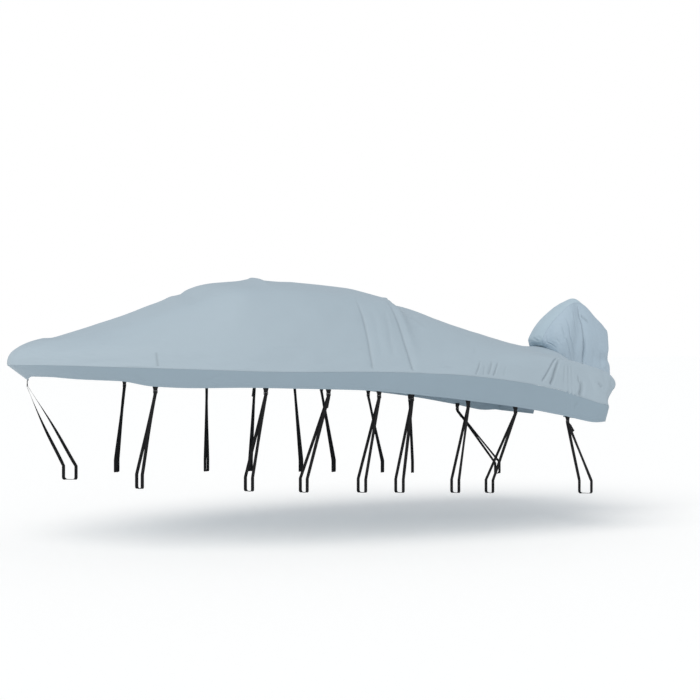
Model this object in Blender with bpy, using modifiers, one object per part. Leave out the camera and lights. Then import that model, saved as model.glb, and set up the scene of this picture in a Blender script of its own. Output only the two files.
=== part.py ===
"""Fitted boat cover with a hood at its stern: two deck panels sewn along the centre,
a skirt band each side, a three-panel hood, and tie-down loops of webbing with their
hem tabs and buckles.

Every sheet is first laid out in cover coordinates: x runs from the stern end (0) to
the nose, y to port, z up from the crease at the nose. One empty then carries the whole
cover to its own frame, whose origin is the underside of the crest on the centreline.
"""
import math

import bmesh
import bpy
from mathutils import Vector

# ---------------------------------------------------------------- driving sizes (m)
CLOTH = 0.002               # coated polyester with its seam allowance
WEBBING = 0.0016            # tie-down webbing, thickness
WEBBING_WIDTH = 0.025
APART = 0.0003              # between neighbouring pieces
CENTRE_GAP = 0.0008         # between the outer faces of the deck panels
SEAM_DROP = CLOTH + APART   # the skirt starts this far below the crease
CREST_X = 2.78              # the highest point of the top on the centreline

# Cross sections of the deck, from the stern end to the nose. half: crease half width;
# crease: its height; shoulder: height at SHOULDER_SHARE of half; brow_share and brow:
# where the top turns down into the side; ridge: height on the centreline.
SECTION_COLUMNS = ("x", "half", "crease", "shoulder", "brow_share", "brow", "ridge")
SECTIONS = (
    (-0.04, 0.960, -0.358, -0.358, 0.56, -0.358, -0.358),
    (-0.01, 1.000, -0.346, -0.175, 0.56, -0.135, -0.040),
    (0.02, 1.018, -0.338, -0.060, 0.56, -0.008, 0.148),
    (0.10, 1.028, -0.320, -0.032, 0.56, 0.020, 0.160),
    (0.20, 1.035, -0.292, -0.010, 0.56, 0.045, 0.168),
    (0.50, 1.065, -0.205, 0.045, 0.56, 0.120, 0.217),
    (1.00, 1.100, -0.120, 0.035, 0.56, 0.250, 0.345),
    (1.50, 1.120, -0.070, 0.060, 0.56, 0.385, 0.485),
    (1.71, 1.120, -0.061, 0.075, 0.56, 0.441, 0.550),
    (1.78, 1.120, -0.056, 0.085, 0.56, 0.505, 0.612),
    (2.20, 1.110, -0.046, 0.115, 0.60, 0.560, 0.668),
    (2.60, 1.085, -0.045, 0.140, 0.62, 0.592, 0.698),
    (2.78, 1.065, -0.044, 0.142, 0.62, 0.596, 0.722),
    (3.00, 1.030, -0.040, 0.140, 0.62, 0.592, 0.700),
    (3.40, 0.930, -0.026, 0.125, 0.60, 0.487, 0.595),
    (3.90, 0.760, -0.010, 0.110, 0.58, 0.300, 0.385),
    (4.30, 0.540, 0.001, 0.098, 0.56, 0.215, 0.267),
    (4.55, 0.345, 0.006, 0.084, 0.56, 0.168, 0.207),
    (4.69, 0.180, 0.005, 0.062, 0.56, 0.118, 0.146),
    (4.735, 0.100, 0.004, 0.044, 0.56, 0.090, 0.114),
    (4.75, 0.030, 0.004, 0.020, 0.56, 0.036, 0.046),
    (4.752, 0.0006, 0.004, 0.006, 0.56, 0.009, 0.012),
)
SHOULDER_SHARE = 0.93
GIRTH_MARKS = (0.0, 0.40, 0.75, 1.0)      # ridge, brow, shoulder and crease
GIRTH_STEPS = 12
SIDE_LENGTH = 1.25                        # ridge to crease along the cloth, about

# Runs of cross cuts: from, to and how many; closer where the cloth folds.
CUT_RUNS = ((-0.04, 0.02, 5), (0.02, 0.72, 16), (0.72, 1.45, 9), (1.45, 2.30, 17),
            (2.30, 3.40, 7), (3.40, 4.55, 8), (4.55, 4.75, 6), (4.75, 4.752, 1))

# Skirt: how far its hem hangs below the crease, stands in from it and rakes back.
SKIRT_COLUMNS = ("x", "drop", "tuck", "rake")
SKIRT = (
    (-0.04, 0.112, 0.010, 0.0),
    (0.20, 0.180, 0.012, 0.0),
    (0.60, 0.205, 0.015, 0.0),
    (1.20, 0.200, 0.018, 0.0),
    (1.80, 0.168, 0.020, 0.0),
    (2.30, 0.137, 0.022, 0.0),
    (3.00, 0.122, 0.035, 0.0),
    (3.55, 0.140, 0.050, 0.0),
    (3.75, 0.136, 0.055, 0.0),
    (4.00, 0.098, 0.062, 0.015),
    (4.30, 0.088, 0.070, 0.045),
    (4.55, 0.080, 0.055, 0.085),
    (4.69, 0.085, 0.030, 0.120),
    (4.735, 0.100, 0.012, 0.140),
    (4.75, 0.118, 0.0, 0.150),
)
SKIRT_STEPS = 2
STERN_STEPS = 5
STERN_FACE = 0.02               # the cuts below this one come down the stern face
STERN_BILLOW = 0.115            # how far that face stands out, and between which shares
BILLOW_SHARES = (0.34, 0.72)
HOOD_HALF = 0.27                # the skirts and the deck's stern face end here
NOTCH_HALF = 0.25               # the deck is cut away inside the hood
NOTCH_CUT = -0.01

# Folds of the deck: side (1 port), ends as x and girth share, depth and half width.
FOLD_COLUMNS = ("side", "x0", "girth0", "x1", "girth1", "depth", "width")
FOLDS = (
    (1, 2.11, 0.45, 2.15, 0.97, 0.016, 0.050),
    (1, 1.81, 0.42, 1.83, 0.97, 0.018, 0.050),
    (1, 1.96, 0.38, 2.00, 0.80, 0.008, 0.060),
    (1, 1.10, 0.78, 1.14, 0.96, 0.009, 0.040),
    (1, 0.96, 0.78, 1.02, 0.96, 0.010, 0.040),
    (1, 0.46, 0.74, 0.60, 0.97, 0.018, 0.045),
    (1, 0.38, 0.76, 0.50, 0.98, 0.022, 0.048),
    (1, 0.16, 0.84, 0.22, 0.99, 0.018, 0.045),
    (-1, 2.24, 0.45, 2.20, 0.97, 0.014, 0.055),
    (-1, 1.84, 0.42, 1.90, 0.97, 0.018, 0.050),
    (-1, 0.90, 0.78, 1.00, 0.96, 0.011, 0.045),
    (-1, 0.34, 0.76, 0.48, 0.98, 0.020, 0.050),
)

# Hood: its top strip in side view, from the front base over the peak to the rear hem.
GUSSET_COLUMNS = ("x", "z", "half", "crown")
GUSSET = (
    (0.045, 0.1450, 0.110, -0.0125),
    (0.090, 0.168, 0.120, 0.004),
    (0.105, 0.215, 0.125, 0.014),
    (0.092, 0.285, 0.130, 0.018),
    (0.020, 0.385, 0.130, 0.016),
    (-0.085, 0.480, 0.125, 0.016),
    (-0.190, 0.545, 0.110, 0.022),
    (-0.270, 0.562, 0.085, 0.042),
    (-0.340, 0.528, 0.105, 0.026),
    (-0.430, 0.435, 0.125, 0.016),
    (-0.515, 0.340, 0.130, 0.014),
    (-0.560, 0.270, 0.130, 0.014),
    (-0.565, 0.120, 0.130, 0.012),
    (-0.590, 0.000, 0.125, 0.012),
    (-0.640, -0.215, 0.120, 0.010),
)
# Hood side: its base line below the same points, and how far the cloth stands out.
BASE_COLUMNS = ("x", "z", "y", "bulge")
BASE = (
    (0.045, 0.1385, 0.140, 0.000),
    (0.062, 0.1355, 0.165, 0.004),
    (0.066, 0.129, 0.195, 0.014),
    (0.058, 0.121, 0.225, 0.030),
    (0.022, 0.109, 0.255, 0.045),
    (-0.012, 0.055, 0.272, 0.055),
    (-0.034, -0.060, 0.278, 0.060),
    (-0.070, -0.170, 0.275, 0.060),
    (-0.160, -0.205, 0.270, 0.058),
    (-0.260, -0.212, 0.264, 0.055),
    (-0.370, -0.216, 0.252, 0.050),
    (-0.460, -0.218, 0.236, 0.040),
    (-0.530, -0.219, 0.206, 0.026),
    (-0.585, -0.219, 0.172, 0.012),
    (-0.628, -0.218, 0.140, 0.004),
)
HOOD_STEPS = 30
HOOD_ROWS = 7
GUSSET_ROWS = 4
# Folds of the hood sides: place along the hood (0 front to 1 rear), depth and width.
PLEAT_COLUMNS = ("at", "depth", "width")
PLEATS = ((0.30, 0.010, 0.030), (0.40, 0.009, 0.026), (0.535, 0.030, 0.030),
          (0.66, 0.010, 0.034), (0.80, 0.012, 0.034))

# Tie-down loops, one row a pair: hem and foot along the cover, the foot's distance from
# the centreline, how far its two legs stand apart along the cover, and the free tail.
STRAP_COLUMNS = ("hem_x", "foot_x", "foot_y", "spread", "tail")
STRAPS = (
    (3.74, 3.83, 0.60, 0.016, 0.00),
    (2.96, 3.02, 0.74, 0.020, 0.00),
    (2.49, 2.60, 0.80, 0.018, 0.09),
    (2.09, 2.12, 0.80, 0.020, 0.00),
    (1.82, 1.80, 0.80, 0.020, 0.00),
    (1.34, 1.31, 0.80, 0.018, 0.00),
    (0.91, 1.00, 0.80, 0.016, 0.00),
    (0.41, 0.09, 0.80, 0.040, 0.07),
)
BOW_STRAP = (None, 4.28, 0.0, 0.045, 0.00)      # it hangs from the stem
LOOP_WIDTH = 0.060              # the loop's foot, across and down
LOOP_DEPTH = 0.105
LOOP_CORNER = 0.014
FOOT_AT_STERN = -0.995          # height of the loops' feet at x = 0, and its rise
FOOT_RISE = 0.047
TAB = (0.036, 0.003, 0.026)     # along the hem, thick, down
BUCKLE = (0.034, 0.008, 0.022)

PORT, STARBOARD = 1, -1
SIDES = (("port", PORT), ("starboard", STARBOARD))

# name: base colour, roughness, metallic
FINISHES = {
    "cloth": ((0.40, 0.49, 0.55), 0.62, 0.0),
    "band_cloth": ((0.36, 0.45, 0.52), 0.62, 0.0),
    "webbing": ((0.012, 0.012, 0.014), 0.75, 0.0),
    "buckle": ((0.02, 0.02, 0.022), 0.38, 0.0),
}


# ---------------------------------------------------------------- curves and tables
def smooth(at, marks, values, level_start=False):
    """Monotone cubic through the values at rising marks, held level past both ends."""
    if at <= marks[0]:
        return values[0]
    if at >= marks[-1]:
        return values[-1]
    gaps = [b - a for a, b in zip(marks, marks[1:])]
    rises = [(b - a) / gap for a, b, gap in zip(values, values[1:], gaps)]
    slopes = [0.0 if level_start else rises[0]]
    for before, after in zip(rises, rises[1:]):
        slopes.append(0.0 if before * after <= 0 else 2 * before * after / (before + after))
    slopes.append(rises[-1])
    k = next(i for i, mark in enumerate(marks[1:]) if at <= mark)
    t = (at - marks[k]) / gaps[k]
    return ((1 + 2 * t) * (1 - t) ** 2 * values[k] + t * (1 - t) ** 2 * gaps[k] * slopes[k]
            + t * t * (3 - 2 * t) * values[k + 1] - t * t * (1 - t) * gaps[k] * slopes[k + 1])


def read(table, columns, mark, at):
    """One interpolated row of a table, as a dict of its columns."""
    marks = [row[columns.index(mark)] for row in table]
    return {name: smooth(at, marks, [row[i] for row in table])
            for i, name in enumerate(columns)}


def along(table, columns, share):
    """A row at a share of the way down a table whose rows are evenly counted."""
    marks = [i / (len(table) - 1) for i in range(len(table))]
    return {name: smooth(share, marks, [row[i] for row in table])
            for i, name in enumerate(columns)}


def cuts():
    """Cross cuts of deck and skirt, from the stern end to the nose."""
    places = [CUT_RUNS[0][0]]
    for start, end, count in CUT_RUNS:
        places += [start + (end - start) * (i + 1) / count for i in range(count)]
    return places


CUTS = cuts()


# ---------------------------------------------------------------- shapes of the cloth
def trough(side, x, girth):
    """How deep the folds press the deck in at one place."""
    depth = 0.0
    for row in FOLDS:
        fold = dict(zip(FOLD_COLUMNS, row))
        if fold["side"] != side:
            continue
        start = Vector((fold["x0"], fold["girth0"] * SIDE_LENGTH))
        run = Vector((fold["x1"], fold["girth1"] * SIDE_LENGTH)) - start
        place = Vector((x, girth * SIDE_LENGTH)) - start
        share = min(1.0, max(0.0, place.dot(run) / run.length_squared))
        away = (place - run * share).length / fold["width"]
        depth += fold["depth"] * math.exp(-away * away)
    return depth


def plain_deck(side, x, girth):
    """A point of the smooth deck: girth 0 on the ridge, 1 on the crease."""
    row = read(SECTIONS, SECTION_COLUMNS, "x", x)
    half = row["half"]
    y = smooth(girth, GIRTH_MARKS,
               (0.0, row["brow_share"] * half, SHOULDER_SHARE * half, half))
    z = smooth(girth, GIRTH_MARKS,
               (row["ridge"], row["brow"], row["shoulder"], row["crease"]), level_start=True)
    return Vector((x, side * y, z))


def billow(x, girth):
    """How far the stern face stands out behind the stern end."""
    if x >= STERN_FACE:
        return 0.0
    down = (x - SECTIONS[0][0]) / (STERN_FACE - SECTIONS[0][0])
    inner, outer = BILLOW_SHARES
    rise = min(1.0, max(0.0, (girth - inner) / (outer - inner)))
    swell = rise * rise * (3.0 - 2.0 * rise) * (1.0 - girth ** 8)
    return STERN_BILLOW * swell * math.sin(math.pi * down)


def deck_point(side, x, girth):
    """A point of the deck with its folds; the crease itself stays straight."""
    point = plain_deck(side, x, girth)
    point.x -= billow(x, girth)
    depth = trough(side, x, girth) * min(1.0, (1.0 - girth) / 0.12)
    if depth < 0.0002:
        return point
    step = 0.01
    ahead = plain_deck(side, x + step, girth) - point
    down = plain_deck(side, x, girth + step) - point
    out = side * ahead.cross(down).normalized() * -1.0
    return point - out * depth


def crease(side, place):
    """The skirt's top line: place 0..1 along the side, 1..2 across the stern."""
    if place <= 1.0:
        index = (len(CUTS) - 1) * (1.0 - place)
        low = min(int(index), len(CUTS) - 2)
        x = CUTS[low] + (CUTS[low + 1] - CUTS[low]) * (index - low)
        row = read(SECTIONS, SECTION_COLUMNS, "x", x)
        return Vector((x, side * row["half"], row["crease"]))
    stern = dict(zip(SECTION_COLUMNS, SECTIONS[0]))
    y = stern["half"] + (HOOD_HALF - stern["half"]) * (place - 1.0)
    return Vector((stern["x"], side * y, stern["crease"]))


def hem(side, place):
    """The skirt's lower edge below the same place."""
    top = crease(side, place)
    row = read(SKIRT, SKIRT_COLUMNS, "x", top.x)
    if place <= 1.0:
        inward = Vector((-row["rake"], -side * row["tuck"], -row["drop"]))
        inward.x += row["tuck"] * max(0.0, 1.0 - (top.x - SECTIONS[0][0]) / 0.1)
        return top + inward
    return top + Vector((row["tuck"], 0.0, -row["drop"]))


def hood_ribs(share):
    """Gusset row and base row at one share of the way from front to rear."""
    return along(GUSSET, GUSSET_COLUMNS, share), along(BASE, BASE_COLUMNS, share)


def pleat(share):
    """How deep the hood's folds press its sides in."""
    depth = 0.0
    for row in PLEATS:
        fold = dict(zip(PLEAT_COLUMNS, row))
        away = (share - fold["at"]) / fold["width"]
        depth += fold["depth"] * math.exp(-away * away)
    return depth


def hood_side_point(side, share, down):
    """A point of a hood side: down 0 at the gusset, 1 at the base line."""
    top, base = hood_ribs(share)
    start = Vector((top["x"], top["half"] + APART, top["z"]))
    end = Vector((base["x"], base["y"], base["z"]))
    start += (end - start).normalized() * SEAM_DROP
    point = start.lerp(end, down)
    belly = math.sin(math.pi * down ** 0.75)
    point.y += belly * (base["bulge"] - pleat(share))
    point.y *= side
    return point


def gusset_point(share, across):
    """A point of the hood's top strip: across runs from -1 to 1."""
    row, _ = hood_ribs(share)
    ahead, _ = hood_ribs(min(1.0, share + 0.01))
    behind, _ = hood_ribs(max(0.0, share - 0.01))
    run = Vector((ahead["x"] - behind["x"], 0.0, ahead["z"] - behind["z"])).normalized()
    out = Vector((-run.z, 0.0, run.x)) * -1.0
    crown = row["crown"] * (1.0 - across * across)
    return Vector((row["x"], across * row["half"], row["z"])) + out * crown


# ---------------------------------------------------------------- building
def clear_scene():
    """Take away whatever the scene holds."""
    for item in list(bpy.data.objects):
        bpy.data.objects.remove(item, do_unlink=True)


def finish(name):
    """A Principled material of the table above."""
    colour, roughness, metallic = FINISHES[name]
    material = bpy.data.materials.new(name)
    material.use_nodes = True
    shader = material.node_tree.nodes["Principled BSDF"]
    shader.inputs["Base Color"].default_value = (*colour, 1.0)
    shader.inputs["Roughness"].default_value = roughness
    shader.inputs["Metallic"].default_value = metallic
    return material


class Workshop:
    """The collection, the carrying empty and the materials that every piece shares."""

    def __init__(self):
        self.collection = bpy.data.collections.new("boat_cover")
        bpy.context.scene.collection.children.link(self.collection)
        self.frame = bpy.data.objects.new("cover_frame", None)
        crest = plain_deck(PORT, CREST_X, 0.0)
        self.frame.location = (-crest.x, 0.0, CLOTH - crest.z)
        self.collection.objects.link(self.frame)
        self.materials = {name: finish(name) for name in FINISHES}

    def place(self, name, mesh, material):
        """Add a mesh as a named piece of the cover."""
        piece = bpy.data.objects.new(name, mesh)
        piece.parent = self.frame
        mesh.materials.append(self.materials[material])
        self.collection.objects.link(piece)
        return piece

    def sheet(self, name, steps, shape, thickness, material, flip=False):
        """A grid of cloth, shaped by shape(u, v) with u and v from 0 to 1."""
        across, down = steps
        form = bmesh.new()
        bmesh.ops.create_grid(form, x_segments=across, y_segments=down, size=1.0)
        for corner in form.verts:
            corner.co = shape((corner.co.x + 1.0) / 2.0, (corner.co.y + 1.0) / 2.0)
        if flip:
            bmesh.ops.reverse_faces(form, faces=form.faces)
        mesh = bpy.data.meshes.new(name)
        form.to_mesh(mesh)
        form.free()
        mesh.shade_smooth()
        piece = self.place(name, mesh, material)
        wall = piece.modifiers.new("wall", "SOLIDIFY")
        wall.thickness = thickness
        wall.offset = -1.0
        return piece

    def block(self, name, size, centre, turn, material, bevel):
        """A small bevelled block."""
        form = bmesh.new()
        bmesh.ops.create_cube(form, size=1.0)
        bmesh.ops.scale(form, verts=form.verts, vec=size)
        mesh = bpy.data.meshes.new(name)
        form.to_mesh(mesh)
        form.free()
        piece = self.place(name, mesh, material)
        piece.location = centre
        piece.rotation_euler = (0.0, 0.0, turn)
        if bevel:
            edge = piece.modifiers.new("edge", "BEVEL")
            edge.width = bevel
            edge.segments = 1
        return piece


def add_deck(shop):
    """Two deck panels that meet in the centre seam."""
    last = len(CUTS) - 1
    for word, side in SIDES:
        def shape(u, v, side=side):
            """The grid runs along the cuts and from the seam to the crease."""
            x = CUTS[round(u * last)]
            start = 0.0
            if x < NOTCH_CUT:
                row = read(SECTIONS, SECTION_COLUMNS, "x", x)
                start = GIRTH_MARKS[1] * NOTCH_HALF / (row["half"] * row["brow_share"])
            point = deck_point(side, x, start + (1.0 - start) * v)
            point.y += side * CENTRE_GAP / 2.0 * (1.0 - v)
            return point
        shop.sheet(f"deck_{word}", (last, GIRTH_STEPS), shape, CLOTH, "cloth",
                   flip=side == STARBOARD)


def add_skirts(shop):
    """A band each side, from the stem round the stern corner to the hood."""
    side_steps = len(CUTS) - 1
    steps = side_steps + STERN_STEPS
    for word, side in SIDES:
        def shape(u, v, side=side):
            """u runs from the stem to the hood, v from the hem up to the crease."""
            count = round(u * steps)
            place = (count / side_steps if count <= side_steps
                     else 1.0 + (count - side_steps) / STERN_STEPS)
            top = crease(side, place) - Vector((0.0, 0.0, SEAM_DROP))
            return hem(side, place).lerp(top, v)
        shop.sheet(f"skirt_{word}", (steps, SKIRT_STEPS), shape, CLOTH, "band_cloth",
                   flip=side == STARBOARD)


def add_hood(shop):
    """The gusset over the top and a panel on each side."""
    shop.sheet("hood_gusset", (HOOD_STEPS, GUSSET_ROWS),
               lambda u, v: gusset_point(u, 2.0 * v - 1.0), CLOTH, "cloth")
    for word, side in SIDES:
        shop.sheet(f"hood_{word}", (HOOD_STEPS, HOOD_ROWS),
                   lambda u, v, side=side: hood_side_point(side, u, v), CLOTH, "cloth",
                   flip=side == STARBOARD)


def loop_path(height, lean, tail):
    """The webbing's route: out of the buckle, down, under the foot and up again.

    Points are (across, up, leg), measured from the foot's centre line, where leg runs
    from 1 on the outer leg to -1 on the inner one. The buckle is lean further out.
    """
    half = LOOP_WIDTH / 2.0
    path = []
    if tail:
        path += [(lean + 0.016, height - tail, 1.0), (lean + 0.010, height - 0.012, 1.0),
                 (lean + 0.007, height, 1.0)]
    path += [(lean + 0.003, height, 1.0), (half, 0.0, 1.0)]
    for centre, first in ((half - LOOP_CORNER, 0), (LOOP_CORNER - half, -90)):
        for turn in (0, -45, -90):
            angle = math.radians(first + turn)
            across = centre + LOOP_CORNER * math.cos(angle)
            path.append((across, LOOP_CORNER * (1.0 + math.sin(angle)) - LOOP_DEPTH,
                         across / half))
    path += [(-half, 0.0, -1.0), (lean - 0.003, height, -1.0)]
    return path


def hem_under(side, x):
    """The point of the hem's straight runs at one x."""
    last = len(CUTS) - 1
    corners = [hem(side, i / last) for i in range(last + 1)]
    before, after = next(pair for pair in zip(corners, corners[1:])
                         if pair[1].x <= x <= pair[0].x)
    return before.lerp(after, (before.x - x) / (before.x - after.x))


def add_strap(shop, name, side, row):
    """One loop of webbing with the hem tab and the buckle that it hangs from."""
    strap = dict(zip(STRAP_COLUMNS, row))
    if strap["hem_x"] is None:
        anchor = hem(PORT, 0.0)
        anchor.y, low, turn = 0.0, anchor.z, math.pi / 2.0
    else:
        anchor, fore, aft = (hem_under(side, strap["hem_x"] + step * TAB[0] / 2.0)
                             for step in (0, 1, -1))
        low, turn = min(fore.z, aft.z), math.atan2(fore.y - aft.y, fore.x - aft.x)
    tab = Vector((anchor.x, anchor.y, low - APART - TAB[2] / 2.0))
    shop.block(f"tab_{name}", TAB, tab, turn, "webbing", 0.0)
    buckle = tab - Vector((0.0, 0.0, (TAB[2] + BUCKLE[2]) / 2.0 + APART))
    shop.block(f"buckle_{name}", BUCKLE, buckle, turn, "buckle", 0.0015)
    top = buckle - Vector((0.0, 0.0, BUCKLE[2] / 2.0 + APART))
    foot = Vector((strap["foot_x"], side * strap["foot_y"],
                   FOOT_AT_STERN + FOOT_RISE * strap["foot_x"]))
    slant = (top.x - foot.x) / (top.z - foot.z)
    reach = top.z - foot.z - WEBBING / 3.0
    path = loop_path(reach, side * (top.y - foot.y), strap["tail"])
    square = Vector((1.0, 0.0, -slant)).normalized() * WEBBING_WIDTH
    level = Vector((WEBBING_WIDTH, 0.0, 0.0))

    def shape(u, v):
        """u follows the route, v crosses the webbing, level where it meets the buckle."""
        across, up, leg = path[round(u * (len(path) - 1))]
        share = max(0.0, up) / reach
        aft = strap["spread"] * leg * (1.0 - share)
        centre = foot + Vector(((top.x - foot.x) * share - aft, side * across, up))
        return centre + (square if up < reach else level) * (v - 0.5)
    shop.sheet(f"strap_{name}", (len(path) - 1, 1), shape, WEBBING, "webbing",
               flip=side == STARBOARD)


def add_straps(shop):
    """A row of loops down each side, and one at the stem."""
    for word, side in SIDES:
        for number, row in enumerate(STRAPS, start=1):
            add_strap(shop, f"{word}_{number}", side, row)
    add_strap(shop, "bow", PORT, BOW_STRAP)


def main():
    """Build the whole cover."""
    clear_scene()
    shop = Workshop()
    add_deck(shop)
    add_skirts(shop)
    add_hood(shop)
    add_straps(shop)


main()
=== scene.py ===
"""The looks of a fitted boat cover with a hood at its stern.

The cloth is laid out in cover coordinates, as its solids are: x runs from the stern end
(0) to the nose, y to port, z up from the crease at the nose. CREST then carries a finished
piece into the frame, whose origin is the underside of the crest on the centreline. Lengths
are in metres.
"""
from __future__ import annotations

import logging
import math
from dataclasses import dataclass, field
from enum import Enum
from functools import partial

import bmesh
import bpy
import numpy as np
from mathutils import Matrix, Vector

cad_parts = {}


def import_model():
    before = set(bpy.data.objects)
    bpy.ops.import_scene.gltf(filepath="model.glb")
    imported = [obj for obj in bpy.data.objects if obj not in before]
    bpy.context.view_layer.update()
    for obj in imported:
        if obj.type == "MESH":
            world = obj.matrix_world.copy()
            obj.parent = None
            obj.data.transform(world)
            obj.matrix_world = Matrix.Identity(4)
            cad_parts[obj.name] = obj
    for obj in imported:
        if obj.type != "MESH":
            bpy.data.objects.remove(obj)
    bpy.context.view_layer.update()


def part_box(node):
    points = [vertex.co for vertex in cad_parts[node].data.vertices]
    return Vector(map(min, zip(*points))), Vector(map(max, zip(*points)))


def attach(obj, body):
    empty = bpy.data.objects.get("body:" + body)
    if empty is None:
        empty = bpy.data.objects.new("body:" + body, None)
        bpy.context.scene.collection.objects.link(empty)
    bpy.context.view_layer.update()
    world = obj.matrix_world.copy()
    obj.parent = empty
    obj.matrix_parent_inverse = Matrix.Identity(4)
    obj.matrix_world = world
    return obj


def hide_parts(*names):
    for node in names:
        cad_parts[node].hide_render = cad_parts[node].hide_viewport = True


log = logging.getLogger("boat_cover")

Place = tuple[float, float]             # along and across the cloth
Span = tuple[float, float]              # where a change is 0, and where it is 1
Colour = tuple[float, float, float]

CREST = np.array((2.78, 0.0, 0.720))    # the frame's origin, in cover coordinates
CLOTH = 0.002                           # thickness of the cloth with its coating
WEBBING = 0.0016
WEBBING_WIDTH = 0.025
PLY = 0.0021                            # from a bar's middle to the webbing round it
APART = 0.0003                          # between neighbouring pieces
SEAM_DROP = CLOTH + APART
EDGE_CELL = 0.002                       # a last narrow cell keeps an edge's shading crisp
TINY = 1e-12                            # keeps a normal defined where cells close up
FLAT_LAYER = "cut"                      # each corner's place on the flat cloth
CREASE_SHADE_LAYER = "painted_crease_shade"                  # how much painted shade darkens a fold's line at each corner


class Side(Enum):
    """The two sides of the cover, by the sign of y."""

    PORT = 1
    STARBOARD = -1

    @property
    def word(self) -> str:
        """The side's name as the nodes write it."""
        return self.name.lower()


class Held(Enum):
    """How a sheet hangs."""

    DRAPED = "draped"
    STRETCHED = "stretched"
    FOLDED = "folded"


# ---------------------------------------------------------------- curves and tables
def smooth(at: np.ndarray, marks: np.ndarray, values: np.ndarray,
           level_start: bool = False) -> np.ndarray:
    """Monotone cubic through the values at rising marks, held level past both ends.

    Args:
        at: places to read, any shape.
        marks: the rising marks.
        values: one entry for each mark, each a number or an array shaped as at.
        level_start: whether the curve starts off level.

    Returns:
        The values at the places, shaped as at.
    """
    marks = np.asarray(marks, float)
    values = np.asarray(values, float)
    at = np.clip(at, marks[0], marks[-1])
    gaps = np.diff(marks).reshape((-1,) + (1,) * (values.ndim - 1))
    rises = np.diff(values, axis=0) / gaps
    product = rises[:-1] * rises[1:]
    total = np.where(product > 0, rises[:-1] + rises[1:], 1.0)
    slopes = np.zeros_like(values)
    slopes[0] = 0.0 if level_start else rises[0]
    slopes[1:-1] = np.where(product > 0, 2.0 * product / total, 0.0)
    slopes[-1] = rises[-1]
    low = np.clip(np.searchsorted(marks, at) - 1, 0, len(marks) - 2)

    def pick(array: np.ndarray, index: np.ndarray) -> np.ndarray:
        """Entries of an array by index, place by place.

        Args:
            array: one entry for each mark.
            index: which mark each place takes.

        Returns:
            The entries, shaped as the places.
        """
        if array.ndim == 1:
            return array[index]
        return np.take_along_axis(array, index[None], axis=0)[0]

    gap = marks[low + 1] - marks[low]
    part = (at - marks[low]) / gap
    return ((1 + 2 * part) * (1 - part) ** 2 * pick(values, low)
            + part * (1 - part) ** 2 * gap * pick(slopes, low)
            + part * part * (3 - 2 * part) * pick(values, low + 1)
            - part * part * (1 - part) * gap * pick(slopes, low + 1))


def ease(place: np.ndarray, none: float = 0.0, full: float = 1.0) -> np.ndarray:
    """Smooth change from 0 where place is none to 1 where it is full."""
    share = np.clip((place - none) / (full - none), 0.0, 1.0)
    return share * share * (3.0 - 2.0 * share)


def runs(*stretches: tuple[float, float, int]) -> np.ndarray:
    """Rising places along a line.

    Args:
        *stretches: from, to and the number of steps of each stretch.

    Returns:
        All the places, the first start included.
    """
    places = [stretches[0][0]]
    for start, end, count in stretches:
        places += [start + (end - start) * (i + 1) / count for i in range(count)]
    return np.array(places)


def shares(count: int, length: float) -> np.ndarray:
    """Even shares from 0 to 1 with a narrow first and last cell on cloth that long."""
    narrow = EDGE_CELL / length
    return np.concatenate(([0.0], np.linspace(narrow, 1.0 - narrow, count - 1), [1.0]))


@dataclass(frozen=True)
class Table:
    """Rows of sizes under named columns, read between its rows by a smooth curve."""

    columns: tuple[str, ...]
    rows: tuple[tuple[float, ...], ...]

    def column(self, name: str) -> np.ndarray:
        """One column's values."""
        return np.array([row[self.columns.index(name)] for row in self.rows])

    def read(self, at: np.ndarray) -> dict[str, np.ndarray]:
        """Every column at places along the first one."""
        marks = self.column(self.columns[0])
        return {name: smooth(at, marks, self.column(name)) for name in self.columns}

    def along(self, share: np.ndarray) -> dict[str, np.ndarray]:
        """Every column at shares of the way down the table."""
        marks = np.linspace(0.0, 1.0, len(self.rows))
        return {name: smooth(share, marks, self.column(name)) for name in self.columns}


def unit(vectors: np.ndarray) -> np.ndarray:
    """Vectors of length one in the same directions."""
    return vectors / np.maximum(np.linalg.norm(vectors, axis=-1, keepdims=True), TINY)


def travelled(line: np.ndarray) -> np.ndarray:
    """How far along a line of points each of them lies."""
    steps = np.linalg.norm(np.diff(line, axis=0), axis=-1)
    return np.concatenate([[0.0], np.cumsum(steps)])


def on_cloth(along: np.ndarray, across: np.ndarray) -> np.ndarray:
    """Places on the flat cloth, one for each pairing of along and across."""
    return np.stack(np.broadcast_arrays(along, across), axis=-1)


def raised(points: np.ndarray, turn: int, rise: np.ndarray) -> np.ndarray:
    """A grid of points moved out along its normals.

    Args:
        points: the grid.
        turn: 1 where its first direction crossed with its second points outwards, else -1.
        rise: how far each point moves.

    Returns:
        The moved points.
    """
    normal = unit(np.cross(np.gradient(points, axis=0), np.gradient(points, axis=1)))
    return points + turn * normal * rise[..., None]


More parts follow.
